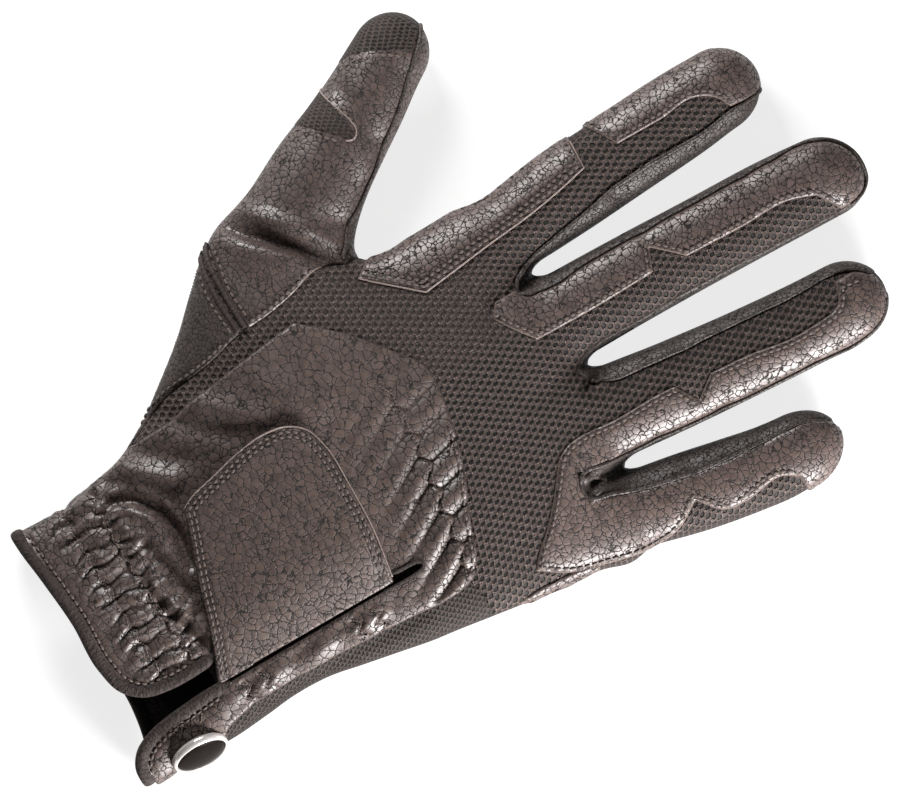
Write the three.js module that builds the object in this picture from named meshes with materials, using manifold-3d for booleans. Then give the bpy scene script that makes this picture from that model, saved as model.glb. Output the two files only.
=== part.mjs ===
// A riding glove for the right hand, lying palm down with its fingers spread.
// Millimetres. +Z is up and z = 0 is the table. +Y runs from the cuff to the fingertips,
// +X towards the little finger. The origin is under the middle of the palm, on its flat underside.
//
// The glove is one hollow form, the union of a hand, four fingers and a thumb, that is cut into the
// panels it is sewn from. Every panel is a wall of that form, so each follows the sizes below.

import * as THREE from "three";
import { mergeVertices } from "three/addons/utils/BufferGeometryUtils.js";
import Module from "manifold-3d";

const wasm = await Module();
wasm.setup();

// Walls and clearances
const skinWall = 1.3; // knitted mesh and leather panels
const patchRise = 0.5; // how far the leather patches stand above the mesh round them
const tabWall = 1.9; // the closure tab, two layers of leather
const rootWall = 1.1; // the tab's hidden root, a single layer
const clearance = 0.3; // between neighbouring pieces
const sink = 0.9; // how far the soft underside is pressed flat by its own weight

// The hand of the glove
const palmWidth = 103; // across the knuckles
const handLength = 155; // from the finger webs to the longest point of the cuff
const handTop = 27; // Y of the finger webs
const handThickness = 25; // at the ball of the thumb
const handSquareness = 2.7; // exponent of the rounded cross-section, 2 is an ellipse
const seamHeight = 7.4; // the seam between the back and the palm, above the table

// Digits. Root and tip are places of the centre line, bow is its sideways curve at half length.
const index = { rootX: -33.3, rootY: 28, tipX: -37.5, length: 81, width: 23.8, thickness: 17.5, bow: -0.6 };
const middle = { rootX: -5.4, rootY: 30, tipX: -2.3, length: 91.8, width: 23.4, thickness: 18, bow: -1.0 };
const ring = { rootX: 22.6, rootY: 30, tipX: 29, length: 80.5, width: 24.2, thickness: 17.5, bow: 1.3 };
const little = { rootX: 48.8, rootY: 22, tipX: 56.4, length: 58.6, width: 22.4, thickness: 16, bow: 2.0 };
const thumb = { rootX: -56, rootY: -28, angle: 119, length: 75, width: 26, thickness: 20 };

// Finger sections: along is a share of the length, width and height are shares of the finger's own.
const fingerRows = [
  { along: -0.36, width: 0.92, height: 0.98 },
  { along: 0.0, width: 1.0, height: 1.0 },
  { along: 0.45, width: 0.965, height: 0.94 },
];
const fingerTip = { width: 0.93, height: 0.88 };

// Thumb sections, with across as the shift of the centre in shares of half the width.
const thumbRows = [
  { along: -0.12, width: 1.06, height: 0.78, across: -0.1 },
  { along: 0.07, width: 1.17, height: 0.84, across: -0.1 },
  { along: 0.2, width: 1.11, height: 0.92, across: -0.08 },
  { along: 0.39, width: 1.0, height: 1.0, across: -0.14 },
  { along: 0.6, width: 0.85, height: 0.96, across: -0.15 },
];
const thumbTip = { width: 0.755, height: 0.84, across: -0.2 };

// Hand sections: along from the webs is a share of handLength, left and right are shares of palmWidth
// from the middle line, height is a share of handThickness.
const handRows = [
  { along: -0.012, left: -0.41, right: 0.31, height: 0.5 },
  { along: 0.04, left: -0.43, right: 0.33, height: 0.71 },
  { along: 0.078, left: -0.431, right: 0.565, height: 0.76 },
  { along: 0.213, left: -0.446, right: 0.552, height: 0.89 },
  { along: 0.281, left: -0.483, right: 0.539, height: 0.93 },
  { along: 0.329, left: -0.573, right: 0.518, height: 0.96 },
  { along: 0.381, left: -0.655, right: 0.503, height: 0.99 },
  { along: 0.426, left: -0.68, right: 0.495, height: 1.0 },
  { along: 0.49, left: -0.605, right: 0.48, height: 0.97 },
  { along: 0.626, left: -0.425, right: 0.444, height: 0.88 },
  { along: 0.755, left: -0.307, right: 0.455, height: 0.77 },
  { along: 0.884, left: -0.27, right: 0.463, height: 0.71 },
  { along: 1.06, left: -0.276, right: 0.466, height: 0.71 },
];

const radians = Math.PI / 180;
const lerp = THREE.MathUtils.lerp;
const handY = (along) => handTop - along * handLength;
const handAlong = (y) => (handTop - y) / handLength;

// Solids to and from three.js geometry

function toSolid(geometry) {
  const bare = geometry.clone();
  bare.deleteAttribute("normal");
  bare.deleteAttribute("uv");
  const merged = mergeVertices(bare, 1e-4);
  return new wasm.Manifold(
    new wasm.Mesh({
      numProp: 3,
      vertProperties: merged.attributes.position.array,
      triVerts: new Uint32Array(merged.index.array),
    }),
  );
}

function toGeometry(solid) {
  const mesh = solid.getMesh();
  const geometry = new THREE.BufferGeometry();
  geometry.setAttribute("position", new THREE.BufferAttribute(new Float32Array(mesh.vertProperties), 3));
  geometry.setIndex(new THREE.BufferAttribute(new Uint32Array(mesh.triVerts), 1));
  geometry.computeVertexNormals();
  return geometry;
}

// The body of a cut that holds the most material; the crumbs of a cut are dropped.
function mainBody(solid) {
  return solid.decompose().reduce((best, body) => (body.volume() > best.volume() ? body : best));
}

// A skin over rings of equal point counts. A ring of one point closes to a pole, and the last ring of
// a loop joins the first.
function loft(rings, loop = false) {
  const sides = rings.find((points) => points.length > 1).length;
  const positions = [];
  const indices = [];
  const starts = rings.map((points) => {
    const start = positions.length / 3;
    points.forEach((p) => positions.push(p.x, p.y, p.z));
    return start;
  });
  const spans = loop ? rings.length : rings.length - 1;
  for (let r = 0; r < spans; r++) {
    const [a, b] = [starts[r], starts[(r + 1) % rings.length]];
    const toPole = !loop && rings[r + 1].length === 1;
    for (let k = 0; k < sides; k++) {
      const next = (k + 1) % sides;
      if (toPole) indices.push(a + k, a + next, b);
      else indices.push(a + k, a + next, b + k, a + next, b + next, b + k);
    }
  }
  const cap = (ringIndex, flipped) => {
    const points = rings[ringIndex];
    if (points.length === 1) return;
    const centre = points.reduce((sum, p) => sum.add(p), new THREE.Vector3()).divideScalar(points.length);
    const hub = positions.length / 3;
    positions.push(centre.x, centre.y, centre.z);
    for (let k = 0; k < sides; k++) {
      const next = (k + 1) % sides;
      const [p, q] = [starts[ringIndex] + k, starts[ringIndex] + next];
      indices.push(...(flipped ? [q, p, hub] : [p, q, hub]));
    }
  };
  if (!loop) {
    cap(0, true);
    cap(rings.length - 1, false);
  }
  const geometry = new THREE.BufferGeometry();
  geometry.setAttribute("position", new THREE.Float32BufferAttribute(positions, 3));
  geometry.setIndex(indices);
  const solid = toSolid(geometry);
  if (solid.volume() > 0) return solid;
  for (let i = 0; i < indices.length; i += 3) [indices[i], indices[i + 1]] = [indices[i + 1], indices[i]];
  geometry.setIndex(indices);
  return toSolid(geometry);
}

// A closed loop of points round a centre: across and up are the two directions of the section.
function sectionRing(centre, across, halfWidth, halfHeight, sides, squareness) {
  const power = 2 / squareness;
  return Array.from({ length: sides }, (_, k) => {
    const angle = (2 * Math.PI * k) / sides;
    const c = Math.cos(angle);
    const s = Math.sin(angle);
    return centre
      .clone()
      .addScaledVector(across, halfWidth * Math.sign(c) * Math.abs(c) ** power)
      .add(new THREE.Vector3(0, 0, halfHeight * Math.sign(s) * Math.abs(s) ** power));
  });
}

// Digit centre lines. "across" runs over the width of the digit, in shares of half its width.

const isThumb = (digit) => digit === thumb;

function digitFrame(digit) {
  if (isThumb(digit)) {
    const angle = digit.angle * radians;
    return {
      forward: new THREE.Vector3(Math.cos(angle), Math.sin(angle), 0),
      across: new THREE.Vector3(Math.sin(angle), -Math.cos(angle), 0),
    };
  }
  return { forward: new THREE.Vector3(0, 1, 0), across: new THREE.Vector3(1, 0, 0) };
}

// The point of a digit's centre line, on the table, at a share of its length.
function centreLine(digit, along) {
  const { forward } = digitFrame(digit);
  const root = new THREE.Vector3(digit.rootX, digit.rootY, 0);
  const point = root.addScaledVector(forward, along * digit.length);
  if (!isThumb(digit)) {
    const inside = Math.min(Math.max(along, 0), 1);
    point.x += (digit.tipX - digit.rootX) * along + digit.bow * 4 * inside * (1 - inside);
  }
  return point;
}

// A place on a digit seen from above, from its shares of length and half width.
function onDigit(digit, along, across) {
  const { across: side } = digitFrame(digit);
  const point = centreLine(digit, along).addScaledVector(side, (across * digit.width) / 2);
  return new THREE.Vector2(point.x, point.y);
}

// A place on the hand seen from above: along from the webs, across from the middle line.
const onHand = (along, across) => new THREE.Vector2(across * palmWidth, handY(along));

// The digit as a solid, grown by a distance on every side
const digitSides = 12;
const tipAngles = [0, 36, 66];

function digitSolid(digit, grow) {
  const rows = isThumb(digit) ? thumbRows : fingerRows;
  const tip = isThumb(digit) ? thumbTip : fingerTip;
  const { forward, across } = digitFrame(digit);
  const lift = digit.thickness / 2 - sink;
  const ringAt = (centre, row, share) => {
    centre.addScaledVector(across, ((row.across ?? 0) * digit.width) / 2);
    centre.z = lift * row.height;
    const halfWidth = ((row.width * digit.width) / 2 + grow) * share;
    const halfHeight = ((row.height * digit.thickness) / 2 + grow) * share;
    return sectionRing(centre, across, halfWidth, halfHeight, digitSides, 2.15);
  };
  const rings = rows.map((row) => ringAt(centreLine(digit, row.along), row, 1));
  const tipRadius = (tip.width * digit.width) / 2;
  const tipStart = 1 - tipRadius / digit.length;
  const tipCentre = (angle) =>
    centreLine(digit, tipStart).addScaledVector(forward, (tipRadius + grow) * Math.sin(angle * radians));
  tipAngles.forEach((angle) => rings.push(ringAt(tipCentre(angle), tip, Math.cos(angle * radians))));
  const pole = tipCentre(90).addScaledVector(across, ((tip.across ?? 0) * digit.width) / 2);
  pole.z = lift * tip.height;
  rings.push([pole]);
  return loft(rings);
}

// The hand's section at a place along it
const handSides = 20;

function handSection(along) {
  const last = handRows.length - 1;
  const found = handRows.findIndex((row) => row.along >= along);
  const upper = Math.min(Math.max(found < 0 ? last : found, 1), last);
  const [a, b] = [handRows[upper - 1], handRows[upper]];
  const share = (along - a.along) / (b.along - a.along);
  const left = lerp(a.left, b.left, share) * palmWidth;
  const right = lerp(a.right, b.right, share) * palmWidth;
  const thickness = lerp(a.height, b.height, share) * handThickness;
  return { centre: (left + right) / 2, halfWidth: (right - left) / 2, halfHeight: thickness / 2 };
}

// The rows before this place face the fingers, so they move forwards as the hand grows.
const shoulderAlong = 0.1;

function handSolid(grow) {
  const rings = handRows.map((row) => {
    const { centre, halfWidth, halfHeight } = handSection(row.along);
    const forwards = row.along < shoulderAlong ? grow : 0;
    const middlePoint = new THREE.Vector3(centre, handY(row.along) + forwards, halfHeight - sink);
    const east = new THREE.Vector3(1, 0, 0);
    return sectionRing(middlePoint, east, halfWidth + grow, halfHeight + grow, handSides, handSquareness);
  });
  return loft(rings);
}

// Height of the back of the hand over the table
function handHeight(x, y, grow = 0) {
  const { centre, halfWidth, halfHeight } = handSection(handAlong(y));
  const share = Math.min(Math.abs(x - centre) / (halfWidth + grow), 1);
  const rise = (1 - share ** handSquareness) ** (1 / handSquareness);
  return halfHeight - sink + (halfHeight + grow) * rise;
}

// Cutting tools

const everywhere = 600;
const ceiling = 80;

function slab(bottom, top) {
  const box = new THREE.BoxGeometry(everywhere, everywhere, top - bottom);
  box.translate(0, 0, (top + bottom) / 2);
  return toSolid(box);
}

// An outline seen from above, cut straight down
function prism(points, bottom, top) {
  const shape = new THREE.Shape(points);
  const geometry = new THREE.ExtrudeGeometry(shape, { depth: top - bottom, bevelEnabled: false });
  geometry.translate(0, 0, bottom);
  return toSolid(geometry);
}

// An outline moved outwards, or inwards where the distance is negative
function offset(points, distance) {
  const turn = Math.sign(THREE.ShapeUtils.area(points));
  return points.map((point, i) => {
    const before = points[(i + points.length - 1) % points.length];
    const after = points[(i + 1) % points.length];
    const a = point.clone().sub(before).normalize();
    const b = after.clone().sub(point).normalize();
    const normalA = new THREE.Vector2(a.y, -a.x).multiplyScalar(turn);
    const normalB = new THREE.Vector2(b.y, -b.x).multiplyScalar(turn);
    const bisector = normalA.clone().add(normalB);
    const reach = Math.min(distance / Math.max(bisector.lengthSq() / 2, 0.35), 3 * Math.abs(distance) + 0.01);
    return point.clone().addScaledVector(bisector, distance < 0 ? Math.max(reach, 3 * distance) : reach);
  });
}

// A round bar along a smooth line, or round a closed loop
function bar(points, radius, sides, steps, loop = false) {
  const curve = new THREE.CatmullRomCurve3(points, loop, "centripetal");
  const { normals, binormals } = curve.computeFrenetFrames(steps, loop);
  const rings = Array.from({ length: loop ? steps : steps + 1 }, (_, i) =>
    Array.from({ length: sides }, (_, k) => {
      const angle = (2 * Math.PI * k) / sides;
      return curve
        .getPointAt(i / steps)
        .addScaledVector(normals[i], radius * Math.cos(angle))
        .addScaledVector(binormals[i], radius * Math.sin(angle));
    }),
  );
  return loft(rings, loop);
}

// The snap on the corner of the cuff: a rim with its post, and a domed cap seated in the rim
const snap = { radius: 8.2, rimHeight: 2.6, rimWidth: 1.3, floor: 0.9, post: 2.2, washer: 4, tilt: 60, sunk: 1.4 };
const snapPlace = { along: 0.884, across: 0.44 };
const snapSides = 16;

function turned(profile) {
  const points = profile.map(([radius, height]) => new THREE.Vector2(radius, height));
  const geometry = new THREE.LatheGeometry(points, snapSides);
  geometry.rotateX(Math.PI / 2);
  return geometry;
}

const snapPose = new THREE.Matrix4();
{
  const { centre, halfWidth, halfHeight } = handSection(snapPlace.along);
  const normal = new THREE.Vector3(Math.sin(snap.tilt * radians), 0, Math.cos(snap.tilt * radians));
  // The superellipse point whose outward normal is the snap's axis
  const power = handSquareness / (handSquareness - 1);
  const size = ((halfWidth * normal.x) ** power + (halfHeight * normal.z) ** power) ** (1 / handSquareness);
  const reachX = (halfWidth * (halfWidth * normal.x) ** (power - 1)) / size;
  const reachZ = (halfHeight * (halfHeight * normal.z) ** (power - 1)) / size;
  const seat = new THREE.Vector3(centre + reachX, handY(snapPlace.along), halfHeight - sink + reachZ);
  seat.addScaledVector(normal, -snap.sunk);
  const axes = new THREE.Matrix4().makeBasis(
    new THREE.Vector3(0, 1, 0).cross(normal),
    new THREE.Vector3(0, 1, 0),
    normal,
  );
  snapPose.makeTranslation(seat).multiply(axes);
}

// The flat dish that the snap presses into the cuff
function snapDish(grow) {
  const radius = snap.radius + 2 * clearance - grow;
  const dish = turned([[0, 0], [radius, 0], [radius, 9], [0, 9]]);
  return toSolid(dish.translate(0, 0, grow - clearance).applyMatrix4(snapPose));
}

// The glove's form, grown by a distance, and flat where it lies on the table. Its dents shrink as it
// grows, so that a wall keeps its thickness round them.

const digits = [index, middle, ring, little, thumb];
const thumbCrease = { radius: 3.4, sunk: 1.5 }; // a valley between the thumb and its ball
const thumbCreaseRows = [
  { along: 0.02, across: -1.35 },
  { along: 0.05, across: -0.7 },
  { along: 0.09, across: 0.1 },
  { along: 0.1, across: 0.6 },
];
const forms = new Map();

const plainForm = (grow) => digits.reduce((sum, digit) => sum.add(digitSolid(digit, grow)), handSolid(grow));

// The highest point of the plain form within reach of a place, or the seam's height beside the form
function topHeight(x, y, reach) {
  const column = new THREE.BoxGeometry(2 * reach, 2 * reach, ceiling).translate(x, y, ceiling / 2);
  return Math.max(plainForm(0).intersect(toSolid(column)).boundingBox().max[2], seamHeight);
}

function dents(grow) {
  const points = thumbCreaseRows.map(({ along, across }) => {
    const { x, y } = onDigit(thumb, along, across);
    return new THREE.Vector3(x, y, topHeight(x, y, clearance) + thumbCrease.radius - thumbCrease.sunk);
  });
  return bar(points, thumbCrease.radius - grow, 8, 5).add(snapDish(grow));
}

function form(grow) {
  if (!forms.has(grow)) {
    forms.set(grow, plainForm(grow).subtract(dents(grow)).intersect(slab(-grow, ceiling)));
  }
  return forms.get(grow);
}

const wallBetween = (inner, outer) => form(outer).subtract(form(inner));

// The cuff: its hem, its slit and the binding round both. Rows run from the tip of the slit down its
// left edge, along the hem over the back, under the palm, and up the slit's right edge.
const bindingRadius = 1.55;
const bindingSides = 6;
const bindingSteps = 50;
const hemTop = [
  { along: 0.39, across: 0.322 },
  { along: 0.425, across: 0.302 },
  { along: 0.48, across: 0.28 },
  { along: 0.58, across: 0.268 },
  { along: 0.7, across: 0.264 },
  { along: 0.79, across: 0.268 },
  { along: 0.87, across: 0.262 },
  { along: 0.917, across: 0.24 },
  { along: 0.942, across: 0.2 },
  { along: 0.95, across: 0.1 },
  { along: 0.95, across: 0.0 },
  { along: 0.958, across: -0.13 },
  { along: 0.969, across: -0.235 },
];
const hemUnder = [
  { along: 0.96, across: -0.2 },
  { along: 0.95, across: -0.08 },
  { along: 0.945, across: 0.1 },
  { along: 0.945, across: 0.28 },
  { along: 0.962, across: 0.38 },
];
const slitRight = [
  { along: 0.986, across: 0.448 },
  { along: 0.979, across: 0.405 },
  { along: 0.957, across: 0.371 },
  { along: 0.92, across: 0.352 },
  { along: 0.87, across: 0.34 },
  { along: 0.8, across: 0.334 },
  { along: 0.7, across: 0.327 },
  { along: 0.58, across: 0.327 },
  { along: 0.48, across: 0.332 },
  { along: 0.41, across: 0.34 },
];
const hemAlongLeft = 0.97;
const hemAlongRight = 0.985;

const onBack = ({ along, across }) => {
  const place = onHand(along, across);
  return new THREE.Vector3(place.x, place.y, handHeight(place.x, place.y) - skinWall / 2);
};
const onTable = ({ along, across }) => {
  const place = onHand(along, across);
  return new THREE.Vector3(place.x, place.y, bindingRadius + clearance / 2);
};
// On the cuff's side, at an angle above its middle height
const onSide = (along, side, angle) => {
  const { centre, halfWidth, halfHeight } = handSection(along);
  const x = centre + side * (halfWidth - skinWall / 2) * Math.cos(angle * radians) ** (2 / handSquareness);
  const rise = Math.sign(angle) * Math.abs(Math.sin(angle * radians)) ** (2 / handSquareness);
  return new THREE.Vector3(x, handY(along), halfHeight - sink + (halfHeight - skinWall) * rise);
};
const bindingPath = [
  ...hemTop.map(onBack),
  onSide(hemAlongLeft, -1, 20),
  onSide(hemAlongLeft, -1, -30),
  ...hemUnder.map(onTable),
  onSide(hemAlongRight, 1, -30),
  onSide(hemAlongRight, 1, 20),
  ...slitRight.map(onBack),
];
const binding = bar(bindingPath, bindingRadius, bindingSides, bindingSteps, true);
const bindingRoom = bar(bindingPath, bindingRadius + clearance, bindingSides, bindingSteps, true);

// What lies outside the hem, over the back and under the palm, and the open slit
const hemOverlap = 2; // how far below the seam the back's hem changes over to the palm's
const farAlong = 1.2;
const farAcross = 0.8;
const slitOutline = [...hemTop.slice(0, 7), ...slitRight.slice(3)].map((r) => onHand(r.along, r.across));
const hemTopCut = prism(
  [
    onHand(hemAlongRight, farAcross),
    ...slitRight.slice(0, 4).map((r) => onHand(r.along, r.across)),
    ...hemTop.slice(6).map((r) => onHand(r.along, r.across)),
    onHand(hemAlongLeft, -farAcross),
    onHand(farAlong, -farAcross),
    onHand(farAlong, farAcross),
  ],
  seamHeight - hemOverlap,
  ceiling,
);
const hemUnderCut = prism(
  [
    onHand(hemAlongLeft, -farAcross),
    ...hemUnder.map((r) => onHand(r.along, r.across)),
    onHand(hemAlongRight, farAcross),
    onHand(farAlong, farAcross),
    onHand(farAlong, -farAcross),
  ],
  -ceiling,
  seamHeight - hemOverlap,
);
const slit = prism(slitOutline, seamHeight - hemOverlap, ceiling);

// The hollow skin, open at the cuff, from which the panels are taken one after the other
let rest = wallBetween(-skinWall, 0).subtract(hemTopCut).subtract(hemUnderCut).subtract(slit).subtract(bindingRoom);
const aboveSeam = seamHeight + clearance / 2;
const belowSeam = seamHeight - clearance / 2;

// Takes a panel above the seam out of the skin, and leaves its clearance
function cutPanel(outline) {
  const panel = mainBody(rest.intersect(prism(outline, aboveSeam, ceiling)));
  rest = rest.subtract(prism(offset(outline, clearance), belowSeam, ceiling));
  return panel;
}

// A leather patch is let into the skin and stands a little above it.
const patchLayer = wallBetween(-skinWall, patchRise);

function cutPatch(outline, floor = aboveSeam) {
  const panel = mainBody(patchLayer.intersect(prism(outline, floor, ceiling)));
  rest = rest.subtract(prism(offset(outline, clearance), floor - clearance, ceiling));
  return panel;
}

// The wrist leather: its outline, and the gathers that two elastic rows pull into it.
const wristOutline = [
  [0.374, -0.388], [0.3, -0.268], [0.236, -0.165], [0.215, -0.125], [0.212, -0.09],
  [0.219, 0.0], [0.236, 0.097], [0.257, 0.194], [0.283, 0.291], [0.308, 0.375],
  [0.35, 0.42], [0.45, 0.417], [0.56, 0.414], [0.69, 0.412], [0.8, 0.42],
  [0.84, 0.52], [1.1, 0.6], [1.1, -0.45], [0.745, -0.45], [0.72, -0.325],
  [0.65, -0.343], [0.56, -0.367], [0.47, -0.378],
].map(([along, across]) => onHand(along, across));

// Rows of the gathered leather: cuff, upper and side are the height of the pleats there, in shares of
// pleatHeight. The rows with no height are the stitched elastic rows.
const pleatHeight = 1.5;
const pleatColumns = 21;
const hollowColumns = 10;
const gatherRows = [
  { along: 0.2, cuff: 0, upper: 0, side: 0 },
  { along: 0.235, cuff: 0, upper: 0.5, side: 0 },
  { along: 0.262, cuff: 0, upper: 0.7, side: 0 },
  { along: 0.292, cuff: 0, upper: 0, side: 0 },
  { along: 0.318, cuff: 0, upper: 1, side: 0 },
  { along: 0.36, cuff: 0, upper: 0.8, side: 0.2 },
  { along: 0.41, cuff: 0, upper: 0.35, side: 0.5 },
  { along: 0.52, cuff: 0, upper: 0, side: 0.5 },
  { along: 0.6, cuff: 0, upper: 0, side: 0 },
  { along: 0.68, cuff: 0, upper: 0, side: 0.5 },
  { along: 0.77, cuff: 0.5, upper: 0, side: 0.4 },
  { along: 0.806, cuff: 0.95, upper: 0, side: 0.2 },
  { along: 0.832, cuff: 0, upper: 0, side: 0 },
  { along: 0.858, cuff: 0.75, upper: 0, side: 0.2 },
  { along: 0.884, cuff: 0, upper: 0, side: 0 },
  { along: 0.91, cuff: 0.85, upper: 0, side: 0 },
  { along: 0.945, cuff: 0.3, upper: 0, side: 0 },
  { along: 1.0, cuff: 0, upper: 0, side: 0 },
];
const gatherZones = { cuff: [-0.27, 0.245], upper: [-0.14, 0.41], side: [0.34, 0.42] };

// The soft folds that the closure pulls into the wrist, each along a line from one place to another.
const foldRows = [
  { fromAlong: 0.775, fromAcross: -0.21, toAlong: 0.72, toAcross: -0.03, height: -1.6, width: 3.6 },
  { fromAlong: 0.8, fromAcross: -0.17, toAlong: 0.765, toAcross: 0.03, height: 1.2, width: 3.2 },
  { fromAlong: 0.64, fromAcross: -0.3, toAlong: 0.56, toAcross: -0.2, height: -0.7, width: 4.5 },
];

// The height of a soft fold at a place: a bell across its line, even along it.
function foldHeight(x, y) {
  const here = new THREE.Vector2(x, y);
  return foldRows.reduce((sum, row) => {
    const a = onHand(row.fromAlong, row.fromAcross);
    const b = onHand(row.toAlong, row.toAcross);
    const line = b.clone().sub(a);
    const share = THREE.MathUtils.clamp(here.clone().sub(a).dot(line) / line.lengthSq(), 0, 1);
    const away = here.distanceTo(a.addScaledVector(line, share));
    return sum + row.height * Math.exp(-((away / row.width) ** 2));
  }, 0);
}

// The wrist's rounded top as a thick block, grown by a distance. Its columns are closer together where
// the hand turns down at its sides. The pleats are a share of their full height.
function wristBlock(grow, columns, pleats) {
  const surface = (row, column) => {
    const { centre, halfWidth } = handSection(row.along);
    const share = (2 * column) / columns - 1;
    const x = centre + (halfWidth + grow) * (1.25 * share - 0.25 * share ** 3);
    const y = handY(row.along);
    const ridge = { cuff: column % 2, side: column % 2, upper: [0, 1, 0.45][column % 3] };
    const lift = Object.entries(gatherZones).reduce((sum, [zone, [from, to]]) => {
      const inside = x > from * palmWidth && x < to * palmWidth;
      return sum + (inside ? row[zone] * ridge[zone] * pleatHeight * pleats : 0);
    }, 0);
    return new THREE.Vector3(x, y, handHeight(x, y, grow) + lift + foldHeight(x, y));
  };
  const rings = gatherRows.map((row) => {
    const top = Array.from({ length: columns + 1 }, (_, column) => surface(row, column));
    const ends = [top[columns], top[0]].map((p) => new THREE.Vector3(p.x, p.y, 0));
    return [...top, ...ends];
  });
  return loft(rings);
}

cutPanel(wristOutline);
const wristLeather = mainBody(
  wristBlock(0, pleatColumns, 1)
    .subtract(wristBlock(-skinWall, hollowColumns, 0))
    .subtract(snapDish(0))
    .intersect(prism(wristOutline, aboveSeam, ceiling))
    .subtract(hemTopCut)
    .subtract(slit)
    .subtract(bindingRoom),
);

// Thumb panels, by shares of the thumb's length and half width
const thumbOutline = (rows) => rows.map(([along, across]) => onDigit(thumb, along, across));
const thumbTipMesh = cutPanel(
  thumbOutline([[0.77, -1.6], [0.77, -0.83], [0.8, -0.66], [0.845, -0.38], [0.89, 0.1], [1.0, 0.06], [1.2, 0], [1.2, -1.6]]),
);
const thumbKnuckleMesh = cutPanel(
  thumbOutline([[0.63, -1.7], [0.62, -1.05], [0.58, -0.17], [0.534, -0.01], [0.5, -0.2], [0.487, -0.55], [0.459, -1.1], [0.45, -1.7]]),
);
const weltLine = [[-0.246, 0.215], [-0.162, -0.604], [-0.064, -1.39]];
const thumbLeather = cutPanel(
  thumbOutline([
    [1.3, -2.0], [1.3, 1.6], [0.6, 1.6], [0.376, 1.25], [0.214, 1.2], [0.135, 1.13], [0.075, 0.8], [-0.1, 0.5],
    ...weltLine, [0.0, -2.2],
  ]),
);
const heelLeather = cutPanel([
  ...thumbOutline([...weltLine, [-0.1, -2.4]]),
  ...[[0.8, -0.7], [0.729, -0.32], [0.703, -0.34], [0.626, -0.388], [0.516, -0.413]].map(([a, b]) => onHand(a, b)),
]);

// The leather patches, in shares of the finger's length and half width
const fourchetteBand = { bottom: 3.4, top: 11.5 }; // heights of the strips between the fingers
const fingerOutline = (digit, rows) => rows.map(([along, across]) => onDigit(digit, along, across));

const indexLowerPatch = cutPatch(
  fingerOutline(index, [
    [-0.475, -0.84], [-0.302, 0.21], [-0.173, 0.15], [0.0, 0.06], [0.123, 0.04], [0.247, -0.04], [0.352, -0.16],
    [0.352, -1.5], [-0.4, -1.5],
  ]),
);
const indexTipPatch = cutPatch(
  fingerOutline(index, [
    [0.395, -1.5], [0.4, -0.95], [0.444, -0.69], [0.488, -0.2], [0.642, -0.14], [0.796, -0.12], [0.84, 0.09],
    [0.87, 0.44], [0.94, 0.49], [1.1, 0.4], [1.1, -1.5],
  ]),
);
const middlePatch = cutPatch(
  fingerOutline(middle, [
    [-0.065, -1.06], [-0.13, -1.04], [-0.16, -0.72], [-0.122, -0.27], [-0.078, 0.16], [0.305, 0.11], [0.338, -0.43],
    [0.419, 0.16], [0.6, 0.16], [0.76, 0.13], [0.833, 0.29], [0.877, 0.78], [0.93, 0.78], [0.965, 0.55], [0.99, 0.2],
    [0.985, -0.3], [0.95, -0.62], [0.893, -0.83], [0.76, -0.84], [0.33, -0.79], [0.0, -0.735],
  ]),
);
const ringLittlePatch = cutPatch([
  ...fingerOutline(ring, [
    [-0.124, 0.18], [0.0, 0.165], [0.227, 0.04], [0.277, 0.53], [0.354, 0.045], [0.497, 0.075], [0.646, 0.13],
    [0.795, 0.065], [0.832, -0.14], [0.857, -0.43], [0.93, -0.38], [0.985, -0.15], [0.985, 0.3], [0.95, 0.58],
    [0.907, 0.76], [0.807, 0.86], [0.435, 0.87], [0.062, 0.92], [-0.19, 0.96],
  ]),
  ...fingerOutline(little, [
    [-0.145, -0.75], [0.068, -0.49], [0.273, -0.46], [0.683, -0.51], [0.853, -0.54], [0.94, -0.39], [0.985, -0.1],
    [0.98, 0.3], [0.93, 0.62], [0.85, 0.84], [0.77, 0.93], [0.739, 0.63], [0.683, 0.43], [0.375, 0.62],
    [0.273, 0.13], [0.154, 0.55], [-0.205, 0.6], [-0.51, 0.41],
  ]),
  onHand(0.174, 0.398),
  onHand(0.118, 0.3),
]);
const edgePatch = cutPatch(
  [[0.125, 0.55], [0.125, 0.66], [0.27, 0.66], [0.27, 0.515], [0.2, 0.53]].map(([a, b]) => onHand(a, b)),
  fourchetteBand.bottom,
);

// Fourchettes: the strips between neighbouring fingers, from the palm up to the seams on their backs.
// Each reaches to a share of both fingers' lengths, and its seam is at a share of their half widths.
const fourchetteSide = 0.35; // share of the half width that the strip's inner side reaches to

function fourchette(left, right, reach, seam) {
  const outline = (from, leftAcross, rightAcross) => [
    onDigit(left, from, leftAcross), onDigit(left, reach.left, leftAcross), onDigit(left, reach.left, 1.15),
    onDigit(left, 0.25, 1.1), onDigit(right, 0.25, -1.1),
    onDigit(right, reach.right, -1.15), onDigit(right, reach.right, -rightAcross), onDigit(right, from, -rightAcross),
  ];
  const { bottom, top } = fourchetteBand;
  const side = outline(-0.18, fourchetteSide, fourchetteSide);
  const upper = outline(seam.from, seam.left, seam.right);
  const zone = (grow) =>
    prism(offset(side, grow), bottom - grow, top + grow).add(prism(offset(upper, grow), top - grow, ceiling));
  const strip = mainBody(rest.intersect(zone(0)));
  rest = rest.subtract(zone(clearance));
  return strip;
}
const indexFourchette = fourchette(
  index, middle, { left: 0.78, right: 1.02 }, { from: -0.02, left: 0.6, right: 0.9 },
);
const middleFourchette = fourchette(
  middle, ring, { left: 0.86, right: 0.84 }, { from: -0.01, left: 0.92, right: 0.55 },
);
const ringFourchette = fourchette(
  ring, little, { left: 1.02, right: 1.03 }, { from: -0.16, left: 0.85, right: 0.45 },
);

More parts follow.
